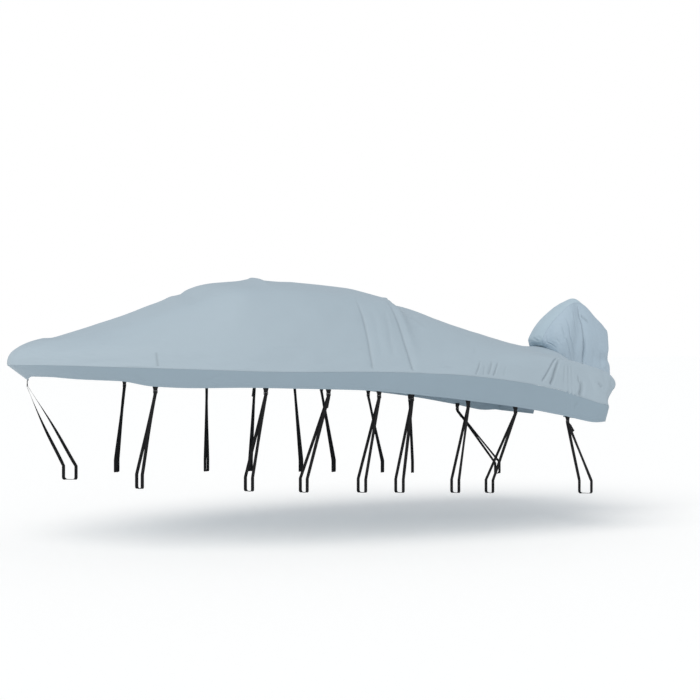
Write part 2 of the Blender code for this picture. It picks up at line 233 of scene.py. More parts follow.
# ---------------------------------------------------------------- folds of the cloth
@dataclass(frozen=True)
class Fold:
    """One crease: a valley along a path, with a softer ridge beside it.

    A negative depth makes a ridge of the valley.
    """

    path: tuple[Place, ...]
    depth: float
    width: float
    swell: float = 0.35         # height of the ridge beside it, as a share of the depth
    lean: float = 0.0           # to which side that ridge stands, -1 to 1
    start: float = 0.3          # shares of the path over which it comes up and dies away
    end: float = 0.3
    line: float = 0.0           # how dark the painted shade along its bottom is, 0 to 1
    ridge_width: float = 2.6    # in widths of the valley
    ridge_aside: float = 2.2    # in widths of the valley, at a full lean

    @classmethod
    def scaled(cls, scale: Place, *path: Place, **sizes: float) -> Fold:
        """A fold whose path is given in shares.

        Args:
            scale: the lengths along and across the cloth that the shares are of.
            *path: the corners of the path, as shares.
            **sizes: its other sizes by their names.

        Returns:
            The fold.
        """
        return cls(tuple((along * scale[0], across * scale[1]) for along, across in path),
                   **sizes)

    def press(self, place: np.ndarray) -> tuple[np.ndarray, np.ndarray]:
        """Press the fold into the cloth.

        Args:
            place: places on the cloth, in metres along and across it.

        Returns:
            How far the cloth stands out at each place, negative where it is pressed in,
            and how dark the painted shade along its line is there.
        """
        corners = np.array(self.path)
        marks = travelled(corners)
        away = np.full(place.shape[:-1], np.inf)
        signed = np.zeros_like(away)
        share = np.zeros_like(away)
        for corner, step, mark, length in zip(corners, np.diff(corners, axis=0), marks,
                                              np.diff(marks)):
            offset = place - corner
            part = np.clip((offset @ step) / length ** 2, 0.0, 1.0)
            rest = offset - part[..., None] * step
            distance = np.hypot(rest[..., 0], rest[..., 1])
            closer = distance < away
            away = np.where(closer, distance, away)
            turn = np.sign(step[0] * offset[..., 1] - step[1] * offset[..., 0])
            signed = np.where(closer, turn * distance, signed)
            share = np.where(closer, (mark + part * length) / marks[-1], share)
        ends = ease(share, 0.0, self.start) * ease(share, 1.0, 1.0 - self.end)
        valley = np.exp(-(away / self.width) ** 2)
        aside = signed - self.ridge_aside * self.lean * self.width
        ridge = np.exp(-(aside / (self.ridge_width * self.width)) ** 2)
        height = self.depth * ends * (self.swell * ridge - (1.0 + self.swell) * valley)
        return height, self.line * ends * valley


@dataclass(frozen=True)
class Slack:
    """The soft rise and fall of cloth that isn't quite tight: a sum of slow waves."""

    height: float
    length: float
    seed: int
    waves: int = 16
    shortest: float = 0.6       # the waves' lengths, as shares of the length
    longest: float = 1.9

    def rise(self, place: np.ndarray, variant: int = 0) -> np.ndarray:
        """The height of the cloth.

        Args:
            place: places on the cloth, in metres along and across it.
            variant: added to the seed, so that the two sides differ.

        Returns:
            The height at each place.
        """
        random = np.random.default_rng(self.seed + variant)
        total = np.zeros(place.shape[:-1])
        for _ in range(self.waves):
            angle = random.uniform(0.0, math.pi)
            length = self.length * random.uniform(self.shortest, self.longest)
            phase = random.uniform(0.0, 2.0 * math.pi)
            travel = place[..., 0] * math.cos(angle) + place[..., 1] * math.sin(angle)
            total += np.sin(2.0 * math.pi * travel / length + phase)
        return self.height * total / math.sqrt(self.waves)


def pressed(folds: tuple[Fold, ...], place: np.ndarray) -> tuple[np.ndarray, np.ndarray]:
    """Press several folds into the cloth together.

    Args:
        folds: the folds.
        place: places on the cloth, in metres along and across it.

    Returns:
        The height of the cloth at each place, and the painted shade of a fold's line there.
    """
    height = np.zeros(place.shape[:-1])
    line = np.zeros(place.shape[:-1])
    for fold in folds:
        rise, dark = fold.press(place)
        height += rise
        line = np.maximum(line, dark)
    return height, line


# ---------------------------------------------------------------- finishes
class Socket:
    """A node's output; arithmetic on it adds Math nodes."""

    def __init__(self, graph: Graph, link: bpy.types.NodeSocket) -> None:
        """Wrap one output socket of a graph."""
        self.graph = graph
        self.link = link

    def __add__(self, other: Socket | float) -> Socket:
        """Sum."""
        return self.graph.maths("ADD", self, other)

    def __sub__(self, other: Socket | float) -> Socket:
        """Difference."""
        return self.graph.maths("SUBTRACT", self, other)

    def __rsub__(self, other: float) -> Socket:
        """Difference from a number."""
        return self.graph.maths("SUBTRACT", other, self)

    def __mul__(self, other: Socket | float) -> Socket:
        """Product."""
        return self.graph.maths("MULTIPLY", self, other)

    __radd__ = __add__
    __rmul__ = __mul__

    def __abs__(self) -> Socket:
        """Absolute value."""
        return self.graph.maths("ABSOLUTE", self)

    def __gt__(self, other: Socket | float) -> Socket:
        """1 where this value is greater."""
        return self.graph.maths("GREATER_THAN", self, other)

    def __lt__(self, other: Socket | float) -> Socket:
        """1 where this value is less, as in a number > value."""
        return self.graph.maths("LESS_THAN", self, other)

    def wave(self, pitch: float) -> Socket:
        """Sine of this length, once round for each pitch."""
        return self.graph.maths("SINE", self * (2.0 * math.pi / pitch))

    def near(self, mark: float, reach: float) -> Socket:
        """1 at a mark, falling to 0 a reach away from it."""
        return self.graph.maths("MAXIMUM", 1.0 - abs(self - mark) * (1.0 / reach), 0.0)


@dataclass(frozen=True)
class Mottle:
    """One scale of unevenness in a finish, and how much of it shows."""

    scale: float                # patches in a metre, about
    detail: float
    tone: float = 0.0
    height: float = 0.0
    roughness: float = 0.0


class Graph:
    """A node tree, and the ways to add to it."""

    def __init__(self, tree: bpy.types.NodeTree) -> None:
        """Start on a tree."""
        self.tree = tree

    def put(self, node: bpy.types.Node, inputs: dict[int | str, object]) -> None:
        """Set or link a node's inputs.

        Args:
            node: the node.
            inputs: values or links of its inputs, by name or index.
        """
        for name, value in inputs.items():
            if isinstance(value, Socket):
                self.tree.links.new(value.link, node.inputs[name])
            else:
                node.inputs[name].default_value = value

    def add(self, kind: str, settings: dict[str, object] | None = None,
            inputs: dict[int | str, object] | None = None, out: int | str = 0) -> Socket:
        """Add one node.

        Args:
            kind: the node's type.
            settings: its own properties, set first.
            inputs: values or links of its inputs, by name or index.
            out: which output to hand back.

        Returns:
            That output.
        """
        node = self.tree.nodes.new(kind)
        for name, value in (settings or {}).items():
            setattr(node, name, value)
        self.put(node, inputs or {})
        return Socket(self, node.outputs[out])

    def maths(self, operation: str, *operands: Socket | float) -> Socket:
        """One Math node."""
        return self.add("ShaderNodeMath", {"operation": operation}, dict(enumerate(operands)))

    def noise(self, place: Socket, scale: float, detail: float) -> Socket:
        """Noise about 0, from -0.5 to 0.5."""
        return self.add("ShaderNodeTexNoise",
                        inputs={"Vector": place, "Scale": scale, "Detail": detail}) - 0.5

    def blend(self, factor: Socket, first: tuple | Socket, second: tuple) -> Socket:
        """One colour over another by a factor."""
        return self.add("ShaderNodeMix", {"data_type": "RGBA"},
                        {0: factor, 6: first, 7: second}, out=2)

    def relief(self, height: Socket) -> Socket:
        """A normal from a height in metres."""
        return self.add("ShaderNodeBump",
                        inputs={"Strength": 1.0, "Distance": 1.0, "Height": height})

    def flat_cloth(self) -> tuple[Socket, Socket, Socket]:
        """Read the piece's own coordinates on the flat cloth.

        Returns:
            The place on the flat cloth, and how far along and across the cloth that is.
        """
        place = self.add("ShaderNodeUVMap", {"uv_map": FLAT_LAYER})
        along = self.add("ShaderNodeSeparateXYZ", inputs={0: place})
        return place, along, Socket(self, along.link.node.outputs[1])

    def mottled(self, layers: tuple[Mottle, ...],
                roughness: float) -> tuple[Socket | float, ...]:
        """Layers of noise on the piece's own coordinates, added up.

        Args:
            layers: the layers.
            roughness: the roughness that they vary.

        Returns:
            The tone, about 0.5, the height and the roughness.
        """
        place = self.add("ShaderNodeTexCoord", out="Object")
        totals = [0.5, 0.0, roughness]
        for layer in layers:
            noise = self.noise(place, layer.scale, layer.detail)
            for index, amount in enumerate((layer.tone, layer.height, layer.roughness)):
                if amount:
                    totals[index] = noise * amount + totals[index]
        return tuple(totals)


def shade(colour: Colour, by: float) -> tuple[float, float, float, float]:
    """A colour made lighter or darker, with its alpha."""
    return (colour[0] * by, colour[1] * by, colour[2] * by, 1.0)


@dataclass(frozen=True)
class Finish:
    """A finish by its colour, tones and unevenness; each kind adds what is its own."""

    name: str
    colour: Colour
    roughness: float = 0.5
    tones: tuple[float, float] = (1.0, 1.0)     # darkest and lightest, of the colour
    mottles: tuple[Mottle, ...] = ()
    specular: float = 0.5

    def material(self) -> bpy.types.Material:
        """Build the finish.

        Returns:
            Its material.
        """
        material = bpy.data.materials.new(self.name)
        material.use_nodes = True
        graph = Graph(material.node_tree)
        shader = graph.tree.nodes["Principled BSDF"]
        graph.put(shader, {"Specular IOR Level": self.specular, **self.inputs(graph)})
        return material

    def toned(self, graph: Graph, tone: Socket) -> Socket:
        """The colour between its darkest and its lightest tone."""
        return graph.blend(tone, *(shade(self.colour, by) for by in self.tones))

    def inputs(self, graph: Graph) -> dict[str, object]:
        """What its Principled shader is given besides the specular level."""
        raise NotImplementedError


@dataclass(frozen=True)
class CoatedCloth(Finish):
    """Woven polyester with a matt coating: faint weave, soft crumple, stitch lines, painted crease
    shade.
    """

    roughness: float = 0.60
    tones: tuple[float, float] = (0.94, 1.06)
    mottles: tuple[Mottle, ...] = (
        Mottle(0.9, 3.0, tone=0.55, roughness=0.10),
        Mottle(7.0, 4.0, tone=0.30, height=0.0009, roughness=0.08),
        Mottle(420.0, 2.0, tone=0.35, height=0.00005))
    specular: float = 0.35
    sheen: float = 0.12
    sheen_roughness: float = 0.45
    stitch_rows: tuple[float, ...] = ()         # across the cloth
    stitch: float = 0.0042                      # pitch of the stitches
    stitch_gap: float = -0.35                   # where their wave is lower, no thread shows
    stitch_half: float = 0.0009                 # half a stitch row's width
    stitch_height: float = 0.0004
    stitch_tone: float = 0.72
    pucker_half: float = 0.007
    pucker_depth: float = 0.0006
    weave: float = 0.0011                       # pitch of the threads
    thread_height: float = 0.00006
    drawn: tuple[float, float, float] = (15.0, 2.4, 1.0)    # faint creases in a metre
    drawn_detail: float = 2.0
    drawn_height: float = 0.0008
    crease_shade_share: float = 0.30                    # how much of the painted shade along a fold's line shows
    crease_shade_tone: float = 0.30

    def inputs(self, graph: Graph) -> dict[str, object]:
        """Its colour, roughness and relief.

        Args:
            graph: the material's graph.

        Returns:
            The shader's inputs by name.
        """
        place, along, across = graph.flat_cloth()
        tone, height, roughness = graph.mottled(self.mottles, self.roughness)
        stretched = graph.add("ShaderNodeMapping", inputs={"Vector": place, "Scale": self.drawn})
        drawn = graph.noise(stretched, 1.0, self.drawn_detail)
        thread = along.wave(self.weave) * across.wave(self.weave)
        stitched = along.wave(self.stitch) > self.stitch_gap
        sewn = sum(across.near(row, self.stitch_half) for row in self.stitch_rows) * stitched
        puckers = sum(across.near(row, self.pucker_half) for row in self.stitch_rows)
        # painted shade: a fold's line darkens the colour, standing in for shade in the crease
        line = graph.add("ShaderNodeAttribute", {"attribute_name": CREASE_SHADE_LAYER}, out="Fac")
        ground = graph.blend(line * self.crease_shade_share, self.toned(graph, tone),
                             shade(self.colour, self.crease_shade_tone))
        ground = graph.blend(graph.maths("MINIMUM", sewn, 1.0), ground,
                             shade(self.colour, self.stitch_tone))
        height += drawn * self.drawn_height + thread * self.thread_height
        height += sewn * self.stitch_height - puckers * self.pucker_depth
        return {"Base Color": ground, "Roughness": roughness, "Normal": graph.relief(height),
                "Sheen Weight": self.sheen, "Sheen Roughness": self.sheen_roughness}


@dataclass(frozen=True)
class WovenWebbing(Finish):
    """Black ribbed webbing."""

    roughness: float = 0.62
    tones: tuple[float, float] = (0.6, 1.9)
    mottles: tuple[Mottle, ...] = (Mottle(60.0, 3.0, tone=0.9, roughness=0.2),)
    specular: float = 0.2
    rib: float = 0.0024                         # pitch of the slanting ribs
    rib_tone: float = 0.18
    rib_height: float = 0.00022
    selvedge: float = 0.42                      # from the middle, as a share of the width
    selvedge_height: float = 0.0002

    def inputs(self, graph: Graph) -> dict[str, object]:
        """Its colour, roughness and relief.

        Args:
            graph: the material's graph.

        Returns:
            The shader's inputs by name.
        """
        _, along, across = graph.flat_cloth()
        tone, _, roughness = graph.mottled(self.mottles, self.roughness)
        ribs = (along + abs(across)).wave(self.rib)
        edge = abs(across) > WEBBING_WIDTH * self.selvedge
        height = ribs * self.rib_height + edge * self.selvedge_height
        return {"Base Color": self.toned(graph, tone + ribs * self.rib_tone),
                "Roughness": roughness, "Normal": graph.relief(height)}


@dataclass(frozen=True)
class Moulded(Finish):
    """Satin black plastic with fine mould grain and lighter rubbed spots."""

    roughness: float = 0.34
    tones: tuple[float, float] = (0.8, 1.7)
    mottles: tuple[Mottle, ...] = (
        Mottle(900.0, 2.0, height=0.00006),
        Mottle(70.0, 3.0, tone=1.0, roughness=0.25))

    def inputs(self, graph: Graph) -> dict[str, object]:
        """Its colour, roughness and relief.

        Args:
            graph: the material's graph.

        Returns:
            The shader's inputs by name.
        """
        tone, height, roughness = graph.mottled(self.mottles, self.roughness)
        return {"Base Color": self.toned(graph, tone), "Roughness": roughness,
                "Normal": graph.relief(height)}


@dataclass(frozen=True)
class PaleFloor(Finish):
    """Plain pale floor, a little bright of itself, so that it runs into the background."""

    roughness: float = 0.9
    specular: float = 0.1
    glow: float = 0.20

    def inputs(self, graph: Graph) -> dict[str, object]:
        """Its colour and its own brightness."""
        return {"Base Color": shade(self.colour, 1.0), "Roughness": self.roughness,
                "Emission Color": WHITE, "Emission Strength": self.glow}


WHITE = (1.0, 1.0, 1.0, 1.0)
DECK_COLOUR = (0.411, 0.492, 0.549)
# painted shade: the band is darker than the deck for the shade it hangs in, facing down and in
BAND_PAINTED_SHADE_COLOUR = (0.308, 0.394, 0.458)
# painted light: the strip is lighter than the hood's sides for the light it faces
STRIP_PAINTED_LIGHT_COLOUR = (0.455, 0.560, 0.630)
# painted sky light: the hood's sides are a bluer tint of the cloth for the sky light on them
HOOD_PAINTED_SKYLIGHT_COLOUR = (0.422, 0.518, 0.598)
BLACK_WEBBING = WovenWebbing("webbing", (0.005, 0.005, 0.006))


# ---------------------------------------------------------------- making pieces
@dataclass(frozen=True)
class Cut:
    """What a sheet was cut to before it was hung, and from how thick a cloth."""

    width: float
    length: float
    area: float | None = None
    held: Held = Held.DRAPED
    thickness: float = CLOTH


@dataclass(frozen=True)
class Role:
    """What a finished piece is: its name, the node that it stands for, slot and finish."""

    name: str
    node: str
    slot: str
    finish: Finish


def show(name: str, data: bpy.types.ID) -> bpy.types.Object:
    """A new object of that data, at the scene's origin.

    Args:
        name: the object's name.
        data: its mesh, camera or light.

    Returns:
        The object, linked to the scene.
    """
    shown = bpy.data.objects.new(name, data)
    bpy.context.scene.collection.objects.link(shown)
    return shown


def mesh_of(form: bmesh.types.BMesh, name: str) -> bpy.types.Mesh:
    """Write a form into a new mesh.

    Args:
        form: the form, which is used up.
        name: the mesh's name.

    Returns:
        The mesh.
    """
    mesh = bpy.data.meshes.new(name)
    form.to_mesh(mesh)
    form.free()
    return mesh


class Workroom:
    """Makes sheets from grids, dresses pieces and hands them to the frame."""

    def __init__(self) -> None:
        """Start with no pieces and no finish built."""
        self.materials: dict[str, bpy.types.Material] = {}
        self.pieces: list[bpy.types.Object] = []

    def material(self, finish: Finish) -> bpy.types.Material:
        """The material of a finish, built when it is first asked for.

        Args:
            finish: the finish.

        Returns:
            Its material.
        """
        if finish.name not in self.materials:
            self.materials[finish.name] = finish.material()
        return self.materials[finish.name]

    def grid(self, name: str, points: np.ndarray, flat: np.ndarray, turn: int,
             line: np.ndarray | None) -> bpy.types.Object:
        """A smooth grid of quads in the frame.

        Args:
            name: the piece's name.
            points: its corners in cover coordinates, along and across.
            flat: the same corners' places on the flat cloth.
            turn: 1 where along crossed with across points outwards, else -1.
            line: how dark the painted shade of a fold's line is at each corner.

        Returns:
            The new object.
        """
        form = bmesh.new()
        across, down = points.shape[0] - 1, points.shape[1] - 1
        bmesh.ops.create_grid(form, x_segments=across, y_segments=down, size=1.0)
        if turn < 0:
            bmesh.ops.reverse_faces(form, faces=form.faces)
        mesh = mesh_of(form, name)
        corners = np.empty(len(mesh.vertices) * 3)
        mesh.vertices.foreach_get("co", corners)
        corners = corners.reshape(-1, 3)
        column = np.rint((corners[:, 0] + 1.0) / 2.0 * across).astype(int)
        row = np.rint((corners[:, 1] + 1.0) / 2.0 * down).astype(int)
        mesh.vertices.foreach_set("co", (points[column, row] - CREST).ravel())
        owner = np.empty(len(mesh.loops), dtype=np.int32)
        mesh.loops.foreach_get("vertex_index", owner)
        layer = mesh.uv_layers.new(name=FLAT_LAYER)
        layer.data.foreach_set("uv", flat[column[owner], row[owner]].ravel())
        # painted shade along the fold lines, which the cloth's colour reads
        if line is not None:
            painted_crease_shade = mesh.attributes.new(CREASE_SHADE_LAYER, "FLOAT", "POINT")
            painted_crease_shade.data.foreach_set("value", line[column, row])
        mesh.shade_smooth()
        mesh.update()
        return show(name, mesh)

    def hand_in(self, piece: bpy.types.Object, role: Role) -> None:
        """Dress a piece and let it stand for its node.

        Args:
            piece: the piece, finished in shape.
            role: what it is.
        """
        piece.data.materials.append(self.material(role.finish))
        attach(piece, "root")
        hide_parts(role.node)
        self.pieces.append(piece)
        faces = len(piece.data.polygons)
        log.info("%s stands for %s, %d faces before its modifiers", piece.name, role.node, faces)

    def sheet(self, role: Role, cut: Cut, points: np.ndarray,
              flat: np.ndarray, turn: int, line: np.ndarray | None = None) -> None:
        """Make a sheet and hand it in.

        Args:
            role: what the sheet is.
            cut: what it was cut to.
            points: the corners of its outer face in cover coordinates, along and across.
            flat: the same corners' places on the flat cloth.
            turn: 1 where along crossed with across points outwards, else -1.
            line: how dark the painted shade of a fold's line is at each corner.
        """
        piece = self.grid(role.name, points, flat, turn, line)
        wall = piece.modifiers.new("wall", "SOLIDIFY")
        wall.thickness = cut.thickness
        wall.offset = -1.0              # inwards from the face that shows
        self.hand_in(piece, role)


# ---------------------------------------------------------------- deck and skirts
@dataclass
class Deck:
    """The two panels of the top, from the centre seam to the crease."""

    sections: Table = Table(
        ("x", "half", "crease", "shoulder", "brow_share", "brow", "ridge"),
        ((-0.04, 0.960, -0.358, -0.358, 0.56, -0.358, -0.358),
         (-0.01, 1.000, -0.346, -0.175, 0.56, -0.135, -0.040),
         (0.02, 1.018, -0.338, -0.060, 0.56, -0.008, 0.148),
         (0.10, 1.028, -0.320, -0.032, 0.56, 0.020, 0.160),
         (0.20, 1.035, -0.292, -0.010, 0.56, 0.045, 0.168),
         (0.50, 1.065, -0.205, 0.045, 0.56, 0.120, 0.217),
         (1.00, 1.100, -0.120, 0.035, 0.56, 0.250, 0.345),
         (1.50, 1.120, -0.070, 0.060, 0.56, 0.385, 0.485),
         (1.71, 1.120, -0.061, 0.075, 0.56, 0.441, 0.550),
         (1.78, 1.120, -0.056, 0.085, 0.56, 0.505, 0.612),
         (2.20, 1.110, -0.046, 0.115, 0.60, 0.560, 0.668),
         (2.60, 1.085, -0.045, 0.140, 0.62, 0.592, 0.698),
         (2.78, 1.065, -0.044, 0.142, 0.62, 0.596, 0.722),
         (3.00, 1.030, -0.040, 0.140, 0.62, 0.592, 0.700),
         (3.40, 0.930, -0.026, 0.125, 0.60, 0.487, 0.595),
         (3.90, 0.760, -0.010, 0.110, 0.58, 0.300, 0.385),
         (4.30, 0.540, 0.001, 0.098, 0.56, 0.215, 0.267),
         (4.55, 0.345, 0.006, 0.084, 0.56, 0.168, 0.207),
         (4.66, 0.220, 0.005, 0.067, 0.56, 0.132, 0.161),
         (4.71, 0.148, 0.005, 0.053, 0.56, 0.098, 0.120),
         (4.735, 0.100, 0.004, 0.042, 0.56, 0.070, 0.084),
         (4.75, 0.030, 0.004, 0.020, 0.56, 0.035, 0.044),
         (4.752, 0.0006, 0.004, 0.006, 0.56, 0.009, 0.012)))
    girth_marks: tuple[float, ...] = (0.0, 0.40, 0.75, 1.0)
    shoulder_share: float = 0.93
    side_length: float = 1.25           # ridge to crease along the cloth, about
    centre_gap: float = 0.0004
    stern_face: float = 0.02            # the cuts below this one come down the stern
    stern_height: float = 0.50
    roll: Table = Table(                # how far the stern face stands out, up its height
        ("up", "out"),
        ((0.00, 0.000), (0.14, -0.004), (0.24, -0.018), (0.34, 0.010), (0.46, 0.108),
         (0.54, 0.115), (0.78, 0.076), (1.00, 0.000)))
    roll_from: Span = (0.34, 0.72)      # girth shares where it comes up
    roll_to: Span = (0.96, 0.74)        # and where it dies away
    notch_half: float = 0.25            # the deck is cut away inside the hood,
    notch_cut: float = -0.011           # in the cuts below this one
    felled: Span = (0.015, 0.012)       # the centre seam's width, along the cloth
    felled_aside: Span = (0.018, 0.012)     # and level
    seam_rise: float = 0.0012
    seam_stitches: tuple[float, ...] = (0.003, 0.009)       # from the centre
    crease_stitches: tuple[float, ...] = (0.005, 0.011)     # from the crease
    slacks: tuple[Slack, ...] = (Slack(0.0016, 0.34, 11), Slack(0.0005, 0.12, 21))
    under_hood: Span = (0.17, 0.11)     # the cloth lies smooth under the hood's foot: x
    under_hood_girth: Span = (0.30, 0.22)
    off_seam: Span = (0.0, 0.05)        # where folds come in from the seam, in metres,
    off_crease: Span = (1.0, 0.97)      # from the crease, in girth,
    off_nose: Span = (4.75, 4.67)       # and from the nose, in x
    sag_girth: Span = (0.45, 0.10)
    crumple_girth: Span = (0.93, 1.0)
    rim_girth: float = 0.98             # from here to the crease the rim's slope is read
    rib_steps: int = 80
    cut: Cut = Cut(1.60, 4.95, 6.15)
    cuts: np.ndarray = field(default_factory=lambda: runs(
        (-0.04, -0.027, 5), (-0.027, -0.016, 12), (-0.016, -0.010, 3), (-0.010, 0.02, 14),
        (0.02, 0.24, 30), (0.24, 0.70, 72), (0.70, 0.96, 16),
        (0.96, 1.32, 56), (1.32, 1.76, 22), (1.76, 1.90, 20), (1.90, 2.09, 14),
        (2.09, 2.19, 14), (2.19, 3.40, 58), (3.40, 3.70, 15), (3.70, 3.77, 12),
        (3.77, 4.55, 40), (4.55, 4.75, 22),
        (4.75, 4.752, 1)))
    rows: np.ndarray = field(default_factory=lambda: runs(
        (0.0, 0.0016, 1), (0.0016, 0.44, 32), (0.44, 0.70, 27), (0.70, 0.99, 48),
        (0.99, 0.9984, 1), (0.9984, 1.0, 1)))
    crumple: Table = Table(
        ("x", "lift"),
        ((0.300, 0.0), (0.325, -0.008), (0.345, 0.006), (0.362, -0.011),
         (0.380, 0.008), (0.400, -0.012), (0.420, 0.008), (0.440, -0.006),
         (0.470, 0.0)))
    sag: Table = Table(                 # how far the ridge has sunk between its props
        ("x", "dip"),
        ((0.02, 0.004), (0.12, 0.008), (0.30, 0.020), (0.60, 0.015), (1.10, 0.017),
         (1.30, 0.006), (1.48, -0.010), (1.60, -0.004), (1.80, 0.017), (2.05, 0.000),
         (2.50, 0.000), (2.60, 0.009), (2.76, 0.019), (2.81, 0.000), (2.84, 0.011),
         (2.94, 0.020), (3.26, -0.005), (3.34, 0.000), (3.39, 0.020), (3.44, 0.018),
         (3.49, 0.010), (3.56, 0.014), (3.72, 0.004), (3.90, 0.001), (4.30, 0.016),
         (4.42, 0.024), (4.50, 0.012), (4.66, 0.011)))
    profile: tuple[Fold, ...] = field(init=False)       # the folds that both panels share
    folds: dict[Side, tuple[Fold, ...]] = field(init=False)

    def __post_init__(self) -> None:
        """Lay out the creases."""
        self.profile, self.folds = deck_folds(self.side_length)

    def plain(self, side: Side, x: np.ndarray, girth: np.ndarray) -> np.ndarray:
        """The smooth deck.

        Args:
            side: which panel.
            x: places along the cover.
            girth: 0 on the ridge to 1 on the crease, shaped as x.

        Returns:
            The points.
        """
        row = self.sections.read(x)
        half = row["half"]
        y = smooth(girth, self.girth_marks, np.stack(
            [np.zeros_like(half), row["brow_share"] * half, self.shoulder_share * half, half]))
        z = smooth(girth, self.girth_marks, np.stack(
            [row["ridge"], row["brow"], row["shoulder"], row["crease"]]), level_start=True)
        return np.stack([x - self.billow(x, girth), side.value * y, z], axis=-1)

    def unrest(self, side: Side, x: np.ndarray) -> np.ndarray:
        """How far the crumpled stretch of the port crease is off its line."""
        return self.crumple.read(x)["lift"] * (side is Side.PORT)

    def rim_drop(self, x: np.ndarray) -> np.ndarray:
        """How far the inner edge of the cloth hangs below its outer one at the crease.

        Args:
            x: places along the cover.

        Returns:
            The drop at each place.
        """
        above, edge = (self.plain(Side.PORT, x, np.full_like(x, girth))
                       for girth in (self.rim_girth, 1.0))
        return CLOTH * np.maximum(0.0, unit(edge - above)[:, 1])

    def billow(self, x: np.ndarray, girth: np.ndarray) -> np.ndarray:
        """How far the stern face stands out behind the stern end, as a roll high up.

        Args:
            x: places along the cover.
            girth: 0 on the ridge to 1 on the crease, shaped as x.

        Returns:
            The distance at each place.
        """
        first = self.cuts[0]
        up = (x - first) / (self.stern_face - first)
        return (self.roll.read(up)["out"] * ease(girth, *self.roll_from)
                * ease(girth, *self.roll_to))

    def sunk(self, x: np.ndarray, girth: np.ndarray) -> np.ndarray:
        """How far the deck has sunk between its props, fading out down its sides."""
        return self.sag.read(x)["dip"] * ease(girth, *self.sag_girth)

    def height(self, x: np.ndarray, y: np.ndarray) -> np.ndarray:
        """The deck's top at places near the ridge, its felled seam included.

        Args:
            x: places along the cover.
            y: how far to port of the ridge each of them is.

        Returns:
            The height at each place.
        """
        girth = np.linspace(0.0, self.girth_marks[1], self.rib_steps + 1)
        top = np.empty_like(x)
        for spot, (along, aside) in enumerate(zip(x, np.abs(y))):
            station = np.full_like(girth, along)
            rib = self.plain(Side.PORT, station, girth)
            top[spot] = np.interp(aside, rib[:, 1], rib[:, 2] - self.sunk(station, girth))
        return top + self.seam_rise * ease(np.abs(y), *self.felled_aside)

    def flat(self, x: np.ndarray, girth: np.ndarray) -> np.ndarray:
        """Places on the flat cloth: along from the stern edge, across from the seam.

        Args:
            x: places along the cover.
            girth: 0 on the ridge to 1 on the crease, shaped as x.

        Returns:
            How far along and across the flat cloth each place is.
        """
        stretch = self.stern_height / (self.stern_face - self.cuts[0])
        along = np.where(x < self.stern_face, self.stern_face - (self.stern_face - x) * stretch, x)
        return on_cloth(along, girth * self.side_length)

    def girths(self) -> np.ndarray:
        """Set the rows of every cut, from the ridge or the hood's edge down.

        Returns:
            Each corner's girth in each cut.
        """
        row = self.sections.read(self.cuts)
        inside = self.girth_marks[1] * self.notch_half / (row["half"] * row["brow_share"])
        start = np.where(self.cuts < self.notch_cut, inside, 0.0)[:, None]
        return start + (1.0 - start) * self.rows

    def relief(self, side: Side, x: np.ndarray,
               girth: np.ndarray) -> tuple[np.ndarray, np.ndarray]:
        """How far a panel stands out from the smooth deck.

        Args:
            side: which panel.
            x: places along the cover.
            girth: 0 on the ridge to 1 on the crease, shaped as x.

        Returns:
            The rise at each place, and the painted shade of a fold's line there.
        """
        flat = self.flat(x, girth)
        rise, line = pressed(self.folds[side], flat)
        rise += sum(slack.rise(flat, side.value) for slack in self.slacks)
        hidden = ease(flat[..., 0], *self.under_hood) * ease(girth, *self.under_hood_girth)
        rise *= ease(flat[..., 1], *self.off_seam) * (1.0 - hidden)
        rise += pressed(self.profile, flat)[0] - self.sunk(x, girth)
        rise *= ease(girth, *self.off_crease) * ease(x, *self.off_nose)
        if side is Side.PORT:           # its edge lies on the other panel's
            rise += self.seam_rise * ease(flat[..., 1], *self.felled)
        return rise, line

    def panel(self, side: Side, room: Workroom) -> None:
        """Build and dress one panel.

        Args:
            side: which panel.
            room: the workroom.
        """
        girth = self.girths()
        x = np.broadcast_to(self.cuts[:, None], girth.shape)
        rise, line = self.relief(side, x, girth)
        points = raised(self.plain(side, x, girth), side.value, rise)
        points[..., 2] += self.unrest(side, x) * ease(girth, *self.crumple_girth)
        clear = self.centre_gap / 2.0
        aside = side.value * points[..., 1] + clear * (1.0 - girth)
        points[..., 1] = side.value * np.maximum(aside, clear)
        stitches = self.seam_stitches + tuple(
            self.side_length - inset for inset in self.crease_stitches)
        role = Role(f"deck_panel_{side.word}", f"deck_{side.word}", "cloth",
                    CoatedCloth("deck_cloth", DECK_COLOUR, stitch_rows=stitches))
        room.sheet(role, self.cut, points, self.flat(x, girth), side.value, line)


